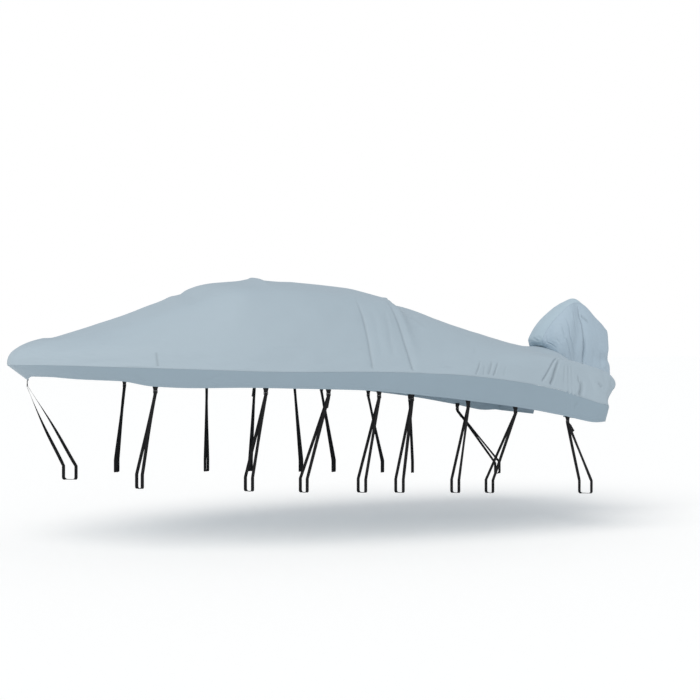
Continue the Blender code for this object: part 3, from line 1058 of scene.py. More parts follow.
def deck_folds(side_length: float) -> tuple[tuple[Fold, ...], dict[Side, tuple[Fold, ...]]]:
    """The creases of both panels, their paths given as x and girth share.

    Args:
        side_length: the length of the cloth from the ridge to the crease.

    Returns:
        The folds that both sides share, and the folds of each side.
    """
    fold = partial(Fold.scaled, (1.0, side_length))

    profile = (
        fold((1.81, 0.12), (1.79, 0.20), depth=0.006, width=0.050, swell=0.0),
        fold((1.79, 0.27), (1.775, 0.30), depth=-0.008, width=0.030, swell=0.0),
        fold((1.775, 0.33), (1.765, 0.46), depth=0.010, width=0.034, swell=0.0),
    )
    first = ((2.15, 0.40), (2.136, 0.55), (2.136, 0.62), (2.139, 0.694), (2.143, 0.79),
             (2.143, 0.93), (2.14, 0.985))
    second = ((1.86, 0.38), (1.84, 0.47), (1.833, 0.56), (1.833, 0.663), (1.826, 0.763),
              (1.819, 0.906), (1.813, 0.985))
    port = (
        fold(*first, depth=0.0040, width=0.0085, lean=0.8, end=0.1, line=0.8),
        fold(*first, depth=0.0034, width=0.040, swell=0.6, end=0.1),
        fold(*second, depth=0.0045, width=0.0085, lean=-0.8, end=0.08, line=0.8),
        fold(*second, depth=0.0040, width=0.042, swell=0.6, end=0.08),
        fold((1.92, 0.46), (1.934, 0.588), (1.954, 0.67), (1.954, 0.80), depth=0.0022,
             width=0.018, line=0.12),
        fold((2.04, 0.50), (2.049, 0.656), (2.062, 0.83), depth=0.0018, width=0.020),
        fold((2.00, 0.40), (1.99, 0.62), (2.00, 0.88), depth=-0.0018, width=0.030),
        fold((1.80, 0.61), (1.69, 0.575), (1.597, 0.55), depth=0.0028, width=0.030),
        fold((1.75, 0.44), (1.66, 0.49), (1.583, 0.545), depth=-0.0032, width=0.026),
        fold((2.37, 0.700), (2.217, 0.688), depth=0.0010, width=0.009, line=0.10),
        fold((2.26, 0.740), (2.17, 0.731), depth=0.0012, width=0.008, line=0.12),
        fold((3.12, 0.763), (2.845, 0.744), (2.649, 0.744), (2.56, 0.86), (2.507, 0.975),
             depth=-0.0012, width=0.012, end=0.05),
        fold((1.56, 0.885), (1.47, 0.90), depth=0.0030, width=0.018, line=0.10),
        fold((1.192, 0.613), (1.239, 0.70), depth=0.0014, width=0.009, line=0.15),
        fold((1.199, 0.75), (1.236, 0.86), (1.280, 0.985), depth=0.0045, width=0.0075,
             lean=0.6, end=0.1, line=0.75),
        fold((1.172, 0.80), (1.212, 0.975), depth=0.0022, width=0.0075, end=0.1, line=0.4),
        fold((1.124, 0.78), (1.172, 0.975), depth=0.0016, width=0.0075, line=0.3),
        fold((1.091, 0.74), (1.158, 0.965), depth=0.0050, width=0.0080, lean=0.6,
             end=0.15, line=0.8),
        fold((1.037, 0.75), (1.118, 0.975), depth=0.0052, width=0.0080, lean=0.6,
             end=0.15, line=0.85),
        fold((0.976, 0.80), (1.030, 0.975), depth=0.0014, width=0.0085, line=0.2),
        fold((0.450, 0.69), (0.565, 0.844), (0.672, 0.970), depth=0.0075, width=0.0090,
             lean=0.7, start=0.2, end=0.12, line=0.9),
        fold((0.440, 0.73), (0.517, 0.863), (0.551, 0.925), (0.590, 0.980), depth=0.0120,
             width=0.0140, lean=-0.6, start=0.45, end=0.1, line=0.9),
        fold((0.409, 0.80), (0.45, 0.965), depth=0.0022, width=0.0085, line=0.25),
        fold((0.375, 0.79), (0.403, 0.965), depth=0.0026, width=0.0085, line=0.3),
        fold((0.345, 0.78), (0.360, 0.94), depth=0.0018, width=0.0085, line=0.15),
        fold((0.292, 0.86), (0.288, 0.92), depth=0.0050, width=0.0080, line=0.8),
        fold((0.255, 0.885), (0.270, 0.955), (0.298, 0.998), depth=0.0140, width=0.018,
             start=0.4, end=0.02, line=0.9),
        fold((0.095, 0.870), (0.062, 0.895), (0.035, 0.885), depth=0.0080, width=0.012,
             line=0.5),
        fold((0.20, 0.84), (0.15, 0.90), (0.14, 0.96), depth=0.0030, width=0.022),
        fold((3.735, 0.76), (3.730, 0.975), depth=0.0030, width=0.0075, start=0.15,
             end=0.05, line=0.9),
        fold((0.0, 0.60), (-0.10, 0.66), (-0.20, 0.70), depth=0.0060, width=0.022),
        fold((-0.05, 0.80), (-0.16, 0.84), (-0.30, 0.83), depth=0.0060, width=0.024),
        fold((-0.02, 0.45), (-0.18, 0.50), (-0.34, 0.49), depth=0.0045, width=0.028),
    )
    starboard = (
        fold((2.24, 0.45), (2.22, 0.70), (2.20, 0.97), depth=0.0060, width=0.028, end=0.1,
             line=0.2),
        fold((1.84, 0.42), (1.86, 0.70), (1.90, 0.97), depth=0.0080, width=0.024, end=0.1,
             line=0.3),
        fold((2.05, 0.50), (2.04, 0.84), depth=0.0030, width=0.028),
        fold((0.90, 0.76), (1.00, 0.97), depth=0.0050, width=0.0095, end=0.1, line=0.5),
        fold((1.05, 0.78), (1.12, 0.97), depth=0.0040, width=0.0095, end=0.1, line=0.4),
        fold((0.34, 0.74), (0.48, 0.98), depth=0.0090, width=0.0130, end=0.1, line=0.7),
        fold((0.22, 0.84), (0.27, 0.97), depth=0.0060, width=0.0120, line=0.4),
        fold((0.08, 0.86), (0.04, 0.90), depth=0.0060, width=0.015),
        fold((0.0, 0.58), (-0.12, 0.64), (-0.24, 0.66), depth=0.0060, width=0.024),
        fold((-0.05, 0.82), (-0.20, 0.85), depth=0.0050, width=0.024),
        fold((3.735, 0.80), (3.735, 0.96), depth=0.0016, width=0.009, line=0.4),
    )
    return profile, {Side.PORT: port, Side.STARBOARD: starboard}


@dataclass
class Skirt:
    """The band below the crease, round the stern corner to the hood, with its hem."""

    deck: Deck
    sizes: Table = Table(
        ("x", "drop", "tuck", "rake"),
        ((-0.04, 0.124, 0.028, 0.0), (0.20, 0.180, 0.012, 0.0), (0.60, 0.205, 0.015, 0.0),
         (1.20, 0.200, 0.018, 0.0), (1.80, 0.168, 0.020, 0.0), (2.30, 0.137, 0.022, 0.0),
         (3.00, 0.122, 0.035, 0.0), (3.55, 0.140, 0.050, 0.0), (3.75, 0.136, 0.055, 0.0),
         (4.00, 0.104, 0.062, 0.015), (4.30, 0.101, 0.070, 0.045),
         (4.55, 0.090, 0.055, 0.085), (4.69, 0.088, 0.030, 0.120),
         (4.735, 0.100, 0.012, 0.140), (4.75, 0.118, 0.0, 0.150)))
    hood_half: float = 0.27             # the band ends here, at the hood
    stern_steps: int = 46
    rows: int = 16
    usual_drop: float = 0.15            # crease to hem, about
    corner_reach: float = 0.1           # the hem turns in over this length at the corner
    hem: Span = (0.025, 0.022)          # the turned hem's width
    hem_rise: float = 0.0011
    hem_stitches: tuple[float, ...] = (0.019,)
    belly: float = 0.003
    slack: Slack = Slack(0.0012, 0.30, 31)
    ripple: Slack = Slack(0.0005, 0.05, 41)
    ripple_height: float = 0.02         # above the hem, where the ripples fade
    tab_pull: float = 0.6               # share of the belly that a tab pulls out
    tab_reach: float = 0.05             # along the hem,
    tab_spread: float = 0.5             # and more for each metre above it
    off_nose: Span = (4.75, 4.70)
    seam_gap: float = 0.0007            # below the deck's edge
    cut: Cut = Cut(0.24, 5.75, 0.90)
    folds: tuple[Fold, ...] = (         # along the cover and up from the hem
        Fold(((3.91, 0.085), (3.80, 0.020)), 0.0024, 0.012, line=0.15),
        Fold(((3.40, 0.050), (3.28, 0.115)), 0.0022, 0.012, line=0.10),
        Fold(((4.62, 0.015), (4.61, 0.075)), 0.0020, 0.012),
        Fold(((4.55, 0.015), (4.53, 0.080)), 0.0024, 0.011, line=0.10),
        Fold(((4.48, 0.020), (4.47, 0.075)), 0.0018, 0.012),
        Fold(((4.38, 0.015), (4.36, 0.085)), 0.0018, 0.013),
        Fold(((0.35, 0.080), (0.30, 0.150)), 0.0030, 0.014, line=0.10))

    def top(self, side: Side) -> np.ndarray:
        """The crease line, from the nose along the side and across the stern.

        Args:
            side: which side.

        Returns:
            Its points.
        """
        x = self.deck.cuts[::-1]
        row = self.deck.sections.read(x)
        along = np.stack([x, side.value * row["half"], row["crease"]], axis=-1)
        corner = along[-1]
        across = np.linspace(abs(corner[1]), self.hood_half, self.stern_steps + 1)[1:]
        back = np.repeat(corner[None], len(across), axis=0)
        back[:, 1] = side.value * across
        return np.concatenate([along, back])

    def bottom(self, side: Side, top: np.ndarray) -> np.ndarray:
        """The hem below each point of the crease line.

        Args:
            side: which side.
            top: the crease line's points.

        Returns:
            The hem's points.
        """
        row = self.sizes.read(top[:, 0])
        behind = np.arange(len(top)) >= len(self.deck.cuts)
        turn = np.maximum(0.0, 1.0 - (top[:, 0] - self.deck.cuts[0]) / self.corner_reach)
        x = np.where(behind, row["tuck"], row["tuck"] * turn - row["rake"])
        y = np.where(behind, 0.0, -side.value * row["tuck"])
        return top + np.stack([x, y, -row["drop"]], axis=-1)

    def relief(self, side: Side, up: np.ndarray, flat: np.ndarray,
               to_tab: np.ndarray) -> np.ndarray:
        """How far the band stands out, apart from its creases.

        Args:
            side: which side.
            up: shares of the way from the hem to the crease.
            flat: each corner's place on the flat cloth.
            to_tab: how far along the hem each cut is from the nearest tab.

        Returns:
            The rise at each corner.
        """
        from_hem = flat[..., 1]
        pull = np.exp(-(to_tab / (self.tab_reach + self.tab_spread * from_hem)) ** 2)
        swell = np.sin(math.pi * up)
        return (self.belly * swell * (1.0 - self.tab_pull * pull)
                + self.slack.rise(flat, side.value) * swell
                + self.hem_rise * ease(from_hem, *self.hem)
                + self.ripple.rise(flat) * np.exp(-(from_hem / self.ripple_height) ** 2))

    def panel(self, side: Side, room: Workroom, tabs: np.ndarray) -> None:
        """Build and dress one band.

        Args:
            side: which side.
            room: the workroom.
            tabs: where the tie-down tabs pull on the hem, along the cover.
        """
        top = self.top(side)
        bottom = self.bottom(side, top)
        x = top[:, :1]
        on_side = (np.arange(len(top)) < len(self.deck.cuts))[:, None]
        sewn = self.deck.unrest(side, x) - self.deck.rim_drop(top[:, 0])[:, None]
        top[:, 2:] += np.where(on_side, sewn, 0.0) - self.seam_gap
        up = shares(self.rows, self.usual_drop)
        points = bottom[:, None] + (top - bottom)[:, None] * up[:, None]
        from_hem = np.linalg.norm(top - bottom, axis=-1)[:, None] * up
        flat = on_cloth(travelled(top)[:, None], from_hem)
        rise = self.relief(side, up, flat, np.abs(x - tabs).min(axis=1)[:, None])
        unraked = points[..., 0] + self.sizes.read(x)["rake"] * (1.0 - up)
        rise *= ease(unraked, *self.off_nose)
        creased, line = pressed(self.folds, on_cloth(x, from_hem))
        points = raised(points, side.value, rise + creased * on_side)
        # Painted shade: the band is given a darker colour than the deck for the shade it hangs in.
        role = Role(f"skirt_band_{side.word}", f"skirt_{side.word}", "band_cloth",
                    CoatedCloth("band_cloth", BAND_PAINTED_SHADE_COLOUR, stitch_rows=self.hem_stitches))
        room.sheet(role, self.cut, points, flat, side.value,
                   line * on_side)


# ---------------------------------------------------------------- hood
@dataclass
class Hood:
    """The hood behind the stern: a strip over its front, peak and rear, and two sides."""

    deck: Deck
    strip: Table = Table(
        ("x", "z", "half", "crown"),
        ((0.085, 0.142, 0.110, 0.000), (0.108, 0.168, 0.120, 0.002),
         (0.122, 0.209, 0.125, 0.014), (0.088, 0.281, 0.130, 0.018),
         (0.016, 0.378, 0.130, 0.016), (-0.088, 0.473, 0.125, 0.016),
         (-0.190, 0.543, 0.110, 0.022), (-0.272, 0.559, 0.085, 0.042),
         (-0.340, 0.526, 0.105, 0.026), (-0.428, 0.430, 0.125, 0.016),
         (-0.520, 0.342, 0.130, 0.014), (-0.566, 0.272, 0.130, 0.014),
         (-0.566, 0.120, 0.130, 0.012), (-0.540, 0.040, 0.125, 0.004),
         (-0.640, -0.215, 0.120, 0.010)))
    base: Table = Table(
        ("x", "z", "y", "bulge"),
        ((0.082, 0.137, 0.130, 0.000), (0.072, 0.131, 0.152, 0.002),
         (0.058, 0.120, 0.188, 0.006), (0.042, 0.107, 0.226, 0.020),
         (0.026, 0.092, 0.262, 0.038), (-0.012, 0.055, 0.272, 0.055),
         (-0.034, -0.060, 0.278, 0.060), (-0.070, -0.170, 0.275, 0.060),
         (-0.160, -0.205, 0.270, 0.058), (-0.260, -0.212, 0.264, 0.055),
         (-0.370, -0.216, 0.252, 0.050), (-0.460, -0.218, 0.236, 0.040),
         (-0.530, -0.219, 0.206, 0.026), (-0.585, -0.219, 0.172, 0.012),
         (-0.628, -0.218, 0.140, 0.004)))
    steps: int = 220
    strip_rows: int = 30
    side_rows: int = 96
    strip_length: float = 1.50          # along the seam, about
    strip_width: float = 0.25           # from seam to seam, about
    side_depth: float = 0.55            # down a side, about
    look: float = 0.01                  # share over which the strip's direction is read
    bulge_high: float = 0.90            # below 1 it carries a side's bulge up
    seat: float = 0.0008                # from the deck to the foot
    strip_foot: Span = (0.07, 0.0)      # shares of the strip that are lifted onto the deck
    side_foot: Span = (0.0, 0.02)       # and how far ahead of the stern face the sides are
    strip_free: Span = (0.0, 0.05)      # where the strip's folds come in, from its foot
    strip_off_seam: Span = (0.0, 0.02)
    side_free: Span = (0.0, 0.04)       # where a side's folds come in, from the strip's foot,
    side_off_seam: Span = (0.0, 0.03)
    side_off_base: Span = (0.0, 0.04)
    strip_slack: Slack = Slack(0.0012, 0.14, 51)
    side_slacks: tuple[Slack, ...] = (Slack(0.0020, 0.20, 61), Slack(0.0006, 0.07, 71))
    seam_stitches: tuple[float, ...] = (0.003, 0.008)
    base_stitch: float = 0.012          # from the base line
    strip_cut: Cut = Cut(0.27, 1.72, 0.40)
    side_cut: Cut = Cut(0.84, 0.95, 0.47)
    folds: dict[Side, tuple[Fold, ...]] = field(init=False)
    strip_folds: tuple[Fold, ...] = field(init=False)

    def __post_init__(self) -> None:
        """Lay out the creases."""
        self.folds, self.strip_folds = hood_folds(self.strip_length, self.side_depth)

    def build(self, room: Workroom) -> None:
        """Build the strip and both sides.

        Args:
            room: the workroom.
        """
        share = shares(self.steps, self.strip_length)[:, None]
        self.build_strip(share, room)
        for side in Side:
            self.build_side(side, share, room)

    def to_deck(self, foot: np.ndarray) -> np.ndarray:
        """How far each point of the foot has to rise to lie on the deck."""
        return self.deck.height(foot[:, 0], foot[:, 1]) + self.seat - foot[:, 2]

    def build_strip(self, share: np.ndarray, room: Workroom) -> None:
        """Build the strip over the top, crowned between its two seams.

        Args:
            share: shares of the way along the seam.
            room: the workroom.
        """
        row = self.strip.along(share)
        ahead, behind = (self.strip.along(np.clip(share + step, 0.0, 1.0))
                         for step in (self.look, -self.look))
        run = unit(np.concatenate([ahead[name] - behind[name] for name in ("x", "z")], axis=1))
        across = 2.0 * shares(self.strip_rows, self.strip_width) - 1.0
        crown = row["crown"] * (1.0 - across ** 2)
        points = np.stack([row["x"] + run[:, 1:] * crown, row["half"] * across,
                           row["z"] - run[:, :1] * crown], axis=-1)
        points[..., 2] += self.to_deck(points[0]) * ease(share, *self.strip_foot)
        flat = on_cloth(share * self.strip_length, row["half"] * across)
        rise, line = pressed(self.strip_folds, flat)
        rise += self.strip_slack.rise(flat)
        rise *= ease(share, *self.strip_free)
        rise *= ease((1.0 - np.abs(across)) * row["half"], *self.strip_off_seam)
        points = raised(points, -1, rise)
        # Painted light: the strip is given a lighter colour than the hood's sides for the light it
        # faces.
        role = Role("hood_strip", "hood_gusset", "cloth", CoatedCloth("strip_cloth_painted_light", STRIP_PAINTED_LIGHT_COLOUR))
        room.sheet(role, self.strip_cut, points,
                   flat, -1, line)

    def build_side(self, side: Side, share: np.ndarray, room: Workroom) -> None:
        """Build one side, from the strip's seam to the base line.

        Args:
            side: which side.
            share: shares of the way along the seam.
            room: the workroom.
        """
        seam = self.strip.along(share)
        base = self.base.along(share)
        start = np.stack([seam["x"], seam["half"] + SEAM_DROP, seam["z"]], axis=-1)
        end = np.stack([base["x"], base["y"], base["z"]], axis=-1)
        lift = self.to_deck(end[:, 0]) * ease(end[:, 0, 0] - self.deck.stern_face, *self.side_foot)
        end[..., 2] += lift[:, None]
        down = shares(self.side_rows, self.side_depth)
        points = start + (end - start) * down[:, None]
        points[..., 1] += np.sin(math.pi * down ** self.bulge_high) * base["bulge"]
        points[..., 1] *= side.value
        from_seam = down * self.side_depth
        flat = on_cloth(share * self.strip_length, from_seam)
        rise, line = pressed(self.folds[side], flat)
        rise += sum(slack.rise(flat, side.value) for slack in self.side_slacks)
        rise *= ease(from_seam, *self.side_off_seam)
        rise *= ease(self.side_depth - from_seam, *self.side_off_base)
        rise *= ease(share, *self.side_free)
        points = raised(points, -side.value, rise)
        stitches = (*self.seam_stitches, self.side_depth - self.base_stitch)
        # Painted sky light: the sides are given a bluer colour than the deck for the sky light on
        # them.
        role = Role(f"hood_panel_{side.word}", f"hood_{side.word}", "cloth",
                    CoatedCloth("hood_cloth", HOOD_PAINTED_SKYLIGHT_COLOUR, stitch_rows=stitches))
        room.sheet(role, self.side_cut, points, flat, -side.value,
                   line)


def hood_folds(strip_length: float,
               side_depth: float) -> tuple[dict[Side, tuple[Fold, ...]], tuple[Fold, ...]]:
    """The creases of the hood, those of its sides as shares along the seam and down.

    Args:
        strip_length: the length of the seam.
        side_depth: the length of a side's cloth from the seam to the base line.

    Returns:
        The folds of each side, and those of the strip.
    """
    fold = partial(Fold.scaled, (strip_length, side_depth))

    deep = ((0.500, 0.02), (0.510, 0.163), (0.540, 0.263), (0.555, 0.375), (0.570, 0.488),
            (0.575, 0.613), (0.580, 0.725), (0.580, 0.90))
    cinch = ((0.60, 0.56), (0.714, 0.54), (0.786, 0.47), (0.857, 0.25), (0.90, 0.06))
    port = (
        fold(*deep, depth=0.0080, width=0.0090, swell=0.3, lean=0.6, start=0.12, end=0.2,
             line=0.9),
        fold(*deep[3:7], depth=0.0120, width=0.020, swell=0.3, start=0.4, end=0.4, line=0.5),
        fold(*deep, depth=0.0060, width=0.045, swell=0.4, start=0.2, end=0.2),
        fold((0.530, 0.155), (0.565, 0.175), (0.600, 0.195), depth=0.0080, width=0.0080,
             start=0.1, line=0.9),
        fold((0.360, 0.10), (0.385, 0.32), (0.410, 0.525), (0.475, 0.638), (0.540, 0.70),
             depth=0.0060, width=0.0100, line=0.40),
        fold((0.385, 0.48), (0.45, 0.62), (0.52, 0.76), depth=0.0050, width=0.010, line=0.3),
        fold((0.325, 0.12), (0.335, 0.36), (0.350, 0.588), (0.42, 0.725), (0.51, 0.80),
             depth=0.0050, width=0.013, line=0.25),
        fold((0.290, 0.20), (0.270, 0.55), (0.32, 0.85), depth=0.0030, width=0.014, line=0.1),
        fold((0.200, 0.06), (0.165, 0.388), (0.21, 0.70), (0.26, 0.93), depth=0.0045,
             width=0.011, line=0.3),
        fold((0.440, 0.06), (0.455, 0.30), (0.49, 0.50), depth=0.0035, width=0.012,
             line=0.15),
        fold((0.635, 0.45), (0.650, 0.55), (0.655, 0.74), depth=0.0030, width=0.016),
        fold((0.700, 0.38), (0.705, 0.50), (0.715, 0.74), depth=0.0040, width=0.014,
             line=0.2),
        fold((0.770, 0.20), (0.775, 0.50), (0.785, 0.80), depth=0.0030, width=0.020),
        fold((0.86, 0.25), (0.87, 0.80), depth=0.0035, width=0.024),
        fold(*cinch, depth=0.0220, width=0.045, swell=0.1, start=0.4, end=0.30),
    )
    starboard = (
        fold(*cinch, depth=0.0220, width=0.045, swell=0.1, start=0.4, end=0.30),
        fold((0.50, 0.04), (0.53, 0.35), (0.55, 0.85), depth=0.0120, width=0.018, line=0.6),
        fold((0.36, 0.10), (0.39, 0.50), (0.48, 0.75), depth=0.0050, width=0.012, line=0.3),
        fold((0.28, 0.20), (0.29, 0.80), depth=0.0040, width=0.014),
        fold((0.65, 0.25), (0.67, 0.75), depth=0.0045, width=0.016),
        fold((0.78, 0.20), (0.80, 0.80), depth=0.0040, width=0.020),
    )
    edge = 0.12
    strip = (
        Fold(((0.253, -0.03), (0.225, 0.03), (0.19, 0.09)), 0.0045, 0.013, line=0.45),
        Fold(((0.13, edge), (0.15, 0.07), (0.14, 0.02)), 0.0026, 0.016, line=0.15),
        Fold(((0.22, edge), (0.25, 0.08), (0.26, 0.03)), 0.0026, 0.014, line=0.15),
        Fold(((0.19, -edge), (0.21, -0.05)), 0.0028, 0.016),
        Fold(((0.82, -0.06), (0.83, 0.06)), 0.0030, 0.014),
        Fold(((1.00, -0.10), (1.01, 0.10)), 0.0040, 0.020),
    )
    return {Side.PORT: port, Side.STARBOARD: starboard}, strip


# ---------------------------------------------------------------- tie-downs
@dataclass(frozen=True)
class Tie:
    """One tie-down: where it hangs from the hem, where its foot is, and how it hangs."""

    name: str
    side: Side
    hem_x: float
    foot: tuple[float, float]   # x and y
    spread: float               # half the distance between its legs at the foot
    tail: float = 0.0           # length of its free end
    twist: float = 0.0          # degrees that the outer leg turns at its middle
    at_stem: bool = False       # whether it hangs at the stem, square to the others

    def box(self, kind: str) -> np.ndarray:
        """The lowest and highest corner of one of its nodes, in cover coordinates."""
        return np.array([list(corner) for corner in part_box(f"{kind}_{self.name}")]) + CREST


@dataclass
class HemTab:
    """A short webbing tab, folded round the buckle's top bar and sewn behind the hem."""

    width: float = 0.036
    half_height: float = 0.013
    bar_drop: float = 0.0018            # from its lower end to the middle of the bar
    bar_steps: int = 7
    strands: int = 5
    taper: tuple[float, float] = (0.80, 1.15)   # shares of its width at the bar and at its top
    thickness: float = 0.0012
    front: tuple[Place, ...] = (        # out and up from its middle, down to the bar
        (-0.0046, 0.034), (-0.0044, 0.019), (-0.0016, 0.012), (0.0006, 0.007), (0.0016, 0.0))
    back: tuple[Place, ...] = (         # and from the bar up behind the hem
        (-0.0018, 0.0), (-0.0040, 0.008), (-0.0072, 0.015), (-0.0076, 0.034))

    def build(self, tie: Tie, turn: float, room: Workroom) -> None:
        """Build one tab.

        Args:
            tie: the tie-down that it holds.
            turn: the hem's direction there.
            room: the workroom.
        """
        bar = -self.half_height - self.bar_drop
        angle = np.linspace(0.0, math.pi, self.bar_steps)
        fold = np.stack([PLY * np.cos(angle), bar - PLY * np.sin(angle)], axis=-1)
        path = np.concatenate([self.front, fold, self.back])
        wide = np.array([math.cos(turn), math.sin(turn), 0.0])
        out = np.array([-math.sin(turn), math.cos(turn), 0.0]) * tie.side.value
        if tie.at_stem:
            out = -out
        up = np.array([0.0, 0.0, 1.0])
        spine = tie.box("tab").mean(axis=0) + out * path[:, :1] + up * path[:, 1:]
        narrow, full = self.taper
        taper = narrow + (full - narrow) * ease(path[:, 1:], bar, self.half_height)
        width = np.linspace(-0.5, 0.5, self.strands) * self.width
        points = spine[:, None] + wide * (width * taper)[..., None]
        gone = travelled(spine)
        cut = Cut(self.width, round(float(gone[-1]), 3), held=Held.FOLDED,
                  thickness=self.thickness)
        role = Role(f"hem_tab_{tie.name}", f"tab_{tie.name}", "webbing", BLACK_WEBBING)
        room.sheet(role, cut, points,
                   on_cloth(gone[:, None], width), -tie.side.value)


@dataclass
class LadderBuckle:
    """A moulded frame with a top bar, a middle bar and a lifted lever bar."""

    across: tuple[float, ...] = (-0.0170, -0.0138, 0.0138, 0.0170)
    up: tuple[float, ...] = (-0.0110, -0.0068, -0.0004, 0.0036, 0.0074, 0.0110)
    lift: tuple[float, ...] = (0.0024, 0.0010, 0.0, 0.0, 0.0, 0.0006)   # at each of these
    slots: tuple[int, ...] = (1, 3)     # the rows of cells that are open in the middle
    thickness: float = 0.0034
    rounding: float = 0.0007
    bend: float = 0.7                   # an edge that bends more is rounded, in radians
    crisp: float = 35.0                 # and one that bends more shades sharp, in degrees
    finish: Moulded = Moulded("buckle_plastic", (0.010, 0.010, 0.011))

    def build(self, tie: Tie, turn: float, room: Workroom) -> None:
        """Build one buckle.

        Args:
            tie: the tie-down that it tightens.
            turn: the hem's direction there.
            room: the workroom.
        """
        columns, rows = len(self.across) - 1, len(self.up) - 1
        form = bmesh.new()
        bmesh.ops.create_grid(form, x_segments=columns, y_segments=rows, size=1.0)
        middles = {face: face.calc_center_median() for face in form.faces}
        opened = [face for face, middle in middles.items() if abs(middle.x) < 1.0 / columns
                  and int((middle.y + 1.0) / 2.0 * rows) in self.slots]
        bmesh.ops.delete(form, geom=opened, context="FACES_ONLY")
        for corner in form.verts:
            column = round((corner.co.x + 1.0) / 2.0 * columns)
            row = round((corner.co.y + 1.0) / 2.0 * rows)
            corner.co = Vector((self.across[column], self.lift[row], self.up[row]))
        bmesh.ops.recalc_face_normals(form, faces=form.faces)
        bmesh.ops.solidify(form, geom=form.faces[:], thickness=self.thickness)
        bmesh.ops.recalc_face_normals(form, faces=form.faces)
        deep = sum(corner.co.y for corner in form.verts) / len(form.verts)
        bmesh.ops.translate(form, verts=form.verts, vec=(0.0, -deep, 0.0))
        edges = [edge for edge in form.edges if edge.calc_face_angle(0.0) > self.bend]
        bmesh.ops.bevel(form, geom=edges, offset=self.rounding, segments=2, profile=0.5,
                        affect="EDGES", material=-1)
        facing = turn if tie.side is Side.PORT else turn + math.pi
        centre = Vector(tie.box("buckle").mean(axis=0) - CREST)
        form.transform(Matrix.Translation(centre) @ Matrix.Rotation(facing, 4, "Z"))
        mesh = mesh_of(form, f"ladder_buckle_{tie.name}")
        mesh.shade_smooth()
        mesh.set_sharp_from_angle(angle=math.radians(self.crisp))
        role = Role(mesh.name, f"buckle_{tie.name}", "buckle", self.finish)
        room.hand_in(show(mesh.name, mesh), role)


@dataclass
class WebbingLoop:
    """A loop of webbing from its buckle down round its foot and back up."""

    width: float = 0.060                # the foot's, from leg to leg
    depth: float = 0.105                # of the foot below the end of the legs
    corner: float = 0.014
    corner_steps: int = 6
    foot_at_stern: float = -0.995       # height where the legs end, at the stern,
    foot_rise: float = 0.047            # and its rise for each metre forward
    leg_gap: float = 0.003              # from the middle to each leg at the buckle
    leg_steps: int = 22
    strands: int = 5
    bar_wrap: tuple[Place, ...] = (     # over the bar: aside, and up from the buckle's foot
        (0.0002, 0.0172), (PLY, 0.0150), (PLY, 0.0040))
    tail_wrap: tuple[Place, ...] = (    # the same where the webbing's end comes over it
        (0.0105, -0.0040), (0.0058, 0.0060), (0.0043, 0.0150), (PLY, 0.0172),
        (0.0, 0.0172), (-0.0008, 0.0150), (-0.0008, 0.0040))
    tail_aside: float = 0.020
    tail_flare: float = 0.25            # how far the tail's end stands out, of its length
    tail_shares: tuple[float, float] = (1.0, 0.25)  # of the tail's length, from its end up
    tail_steps: int = 9

    def route(self, reach: float, tail: float) -> np.ndarray:
        """The webbing's way round the loop.

        Args:
            reach: from the end of the legs up to the buckle.
            tail: length of the free end, or 0.

        Returns:
            Rows of across, up and leg: across is off the line from foot to buckle, and
            leg runs from 1 on the outer leg to -1 on the inner one.
        """
        half = self.width / 2.0
        down = np.linspace(0.0, 1.0, self.leg_steps)
        turn = np.radians(np.linspace(0.0, 90.0, self.corner_steps))
        wrap = np.array(self.bar_wrap) + (0.0, reach)
        leg = np.stack([self.leg_gap + (half - self.leg_gap) * down, reach * (1.0 - down)], axis=-1)
        corner = np.stack([half - self.corner * (1.0 - np.cos(turn)),
                           self.corner * (1.0 - np.sin(turn)) - self.depth], axis=-1)
        start = wrap
        if tail:
            hang = np.linspace(*self.tail_shares, self.tail_steps)
            free = np.stack([self.tail_aside + self.tail_flare * tail * hang ** 2,
                             reach - tail * hang], axis=-1)
            start = np.concatenate([free, np.array(self.tail_wrap) + (0.0, reach)])
        outer = np.concatenate([start, leg, corner])
        inner = np.concatenate([wrap, leg, corner])[::-1] * (-1.0, 1.0)
        path = np.concatenate([outer, inner])
        which = np.repeat([1.0, -1.0], [len(outer), len(inner)])
        which = np.where(path[:, 1] < 0.0, path[:, 0] / half, which)
        return np.column_stack([path, which])

    def build(self, tie: Tie, turn: float, room: Workroom) -> None:
        """Build one loop.

        Args:
            tie: the tie-down that it is of.
            turn: the hem's direction there.
            room: the workroom.
        """
        low, high = tie.box("buckle")
        top = np.array([*(low + high)[:2] / 2.0, low[2] - APART])
        foot = np.array([*tie.foot, self.foot_at_stern + self.foot_rise * tie.foot[0]])
        reach = top[2] - foot[2]
        across, up, leg = self.route(reach, tie.tail).T
        share = np.clip(up / reach, 0.0, 1.0)
        azimuth = turn * ease(share)
        level = np.zeros_like(azimuth)
        side = tie.side.value
        out = side * np.stack([-np.sin(azimuth), np.cos(azimuth), level], axis=-1)
        wide = np.stack([np.cos(azimuth), np.sin(azimuth), level], axis=-1)
        line = foot + (top - foot) * share[:, None]
        line[:, 2] = foot[2] + up
        line[:, 0] -= tie.spread * leg * (1.0 - share)
        centre = line + out * across[:, None]
        run = unit(np.gradient(centre, axis=0))
        wide = unit(wide - run * np.sum(run * wide, axis=-1, keepdims=True))
        turned = (leg == 1.0) & (up > 0.0) & (up < reach)
        angle = np.where(turned, math.radians(tie.twist) * np.sin(math.pi * share), 0.0)[:, None]
        wide = wide * np.cos(angle) + np.cross(run, wide) * np.sin(angle)
        width = np.linspace(-0.5, 0.5, self.strands) * WEBBING_WIDTH
        points = centre[:, None] + wide[:, None] * width[:, None]
        gone = travelled(centre)
        cut = Cut(WEBBING_WIDTH, round(float(gone[-1]), 3), held=Held.STRETCHED,
                  thickness=WEBBING)
        role = Role(f"webbing_loop_{tie.name}", f"strap_{tie.name}", "webbing", BLACK_WEBBING)
        room.sheet(role, cut, points,
                   on_cloth(gone[:, None], width), side)


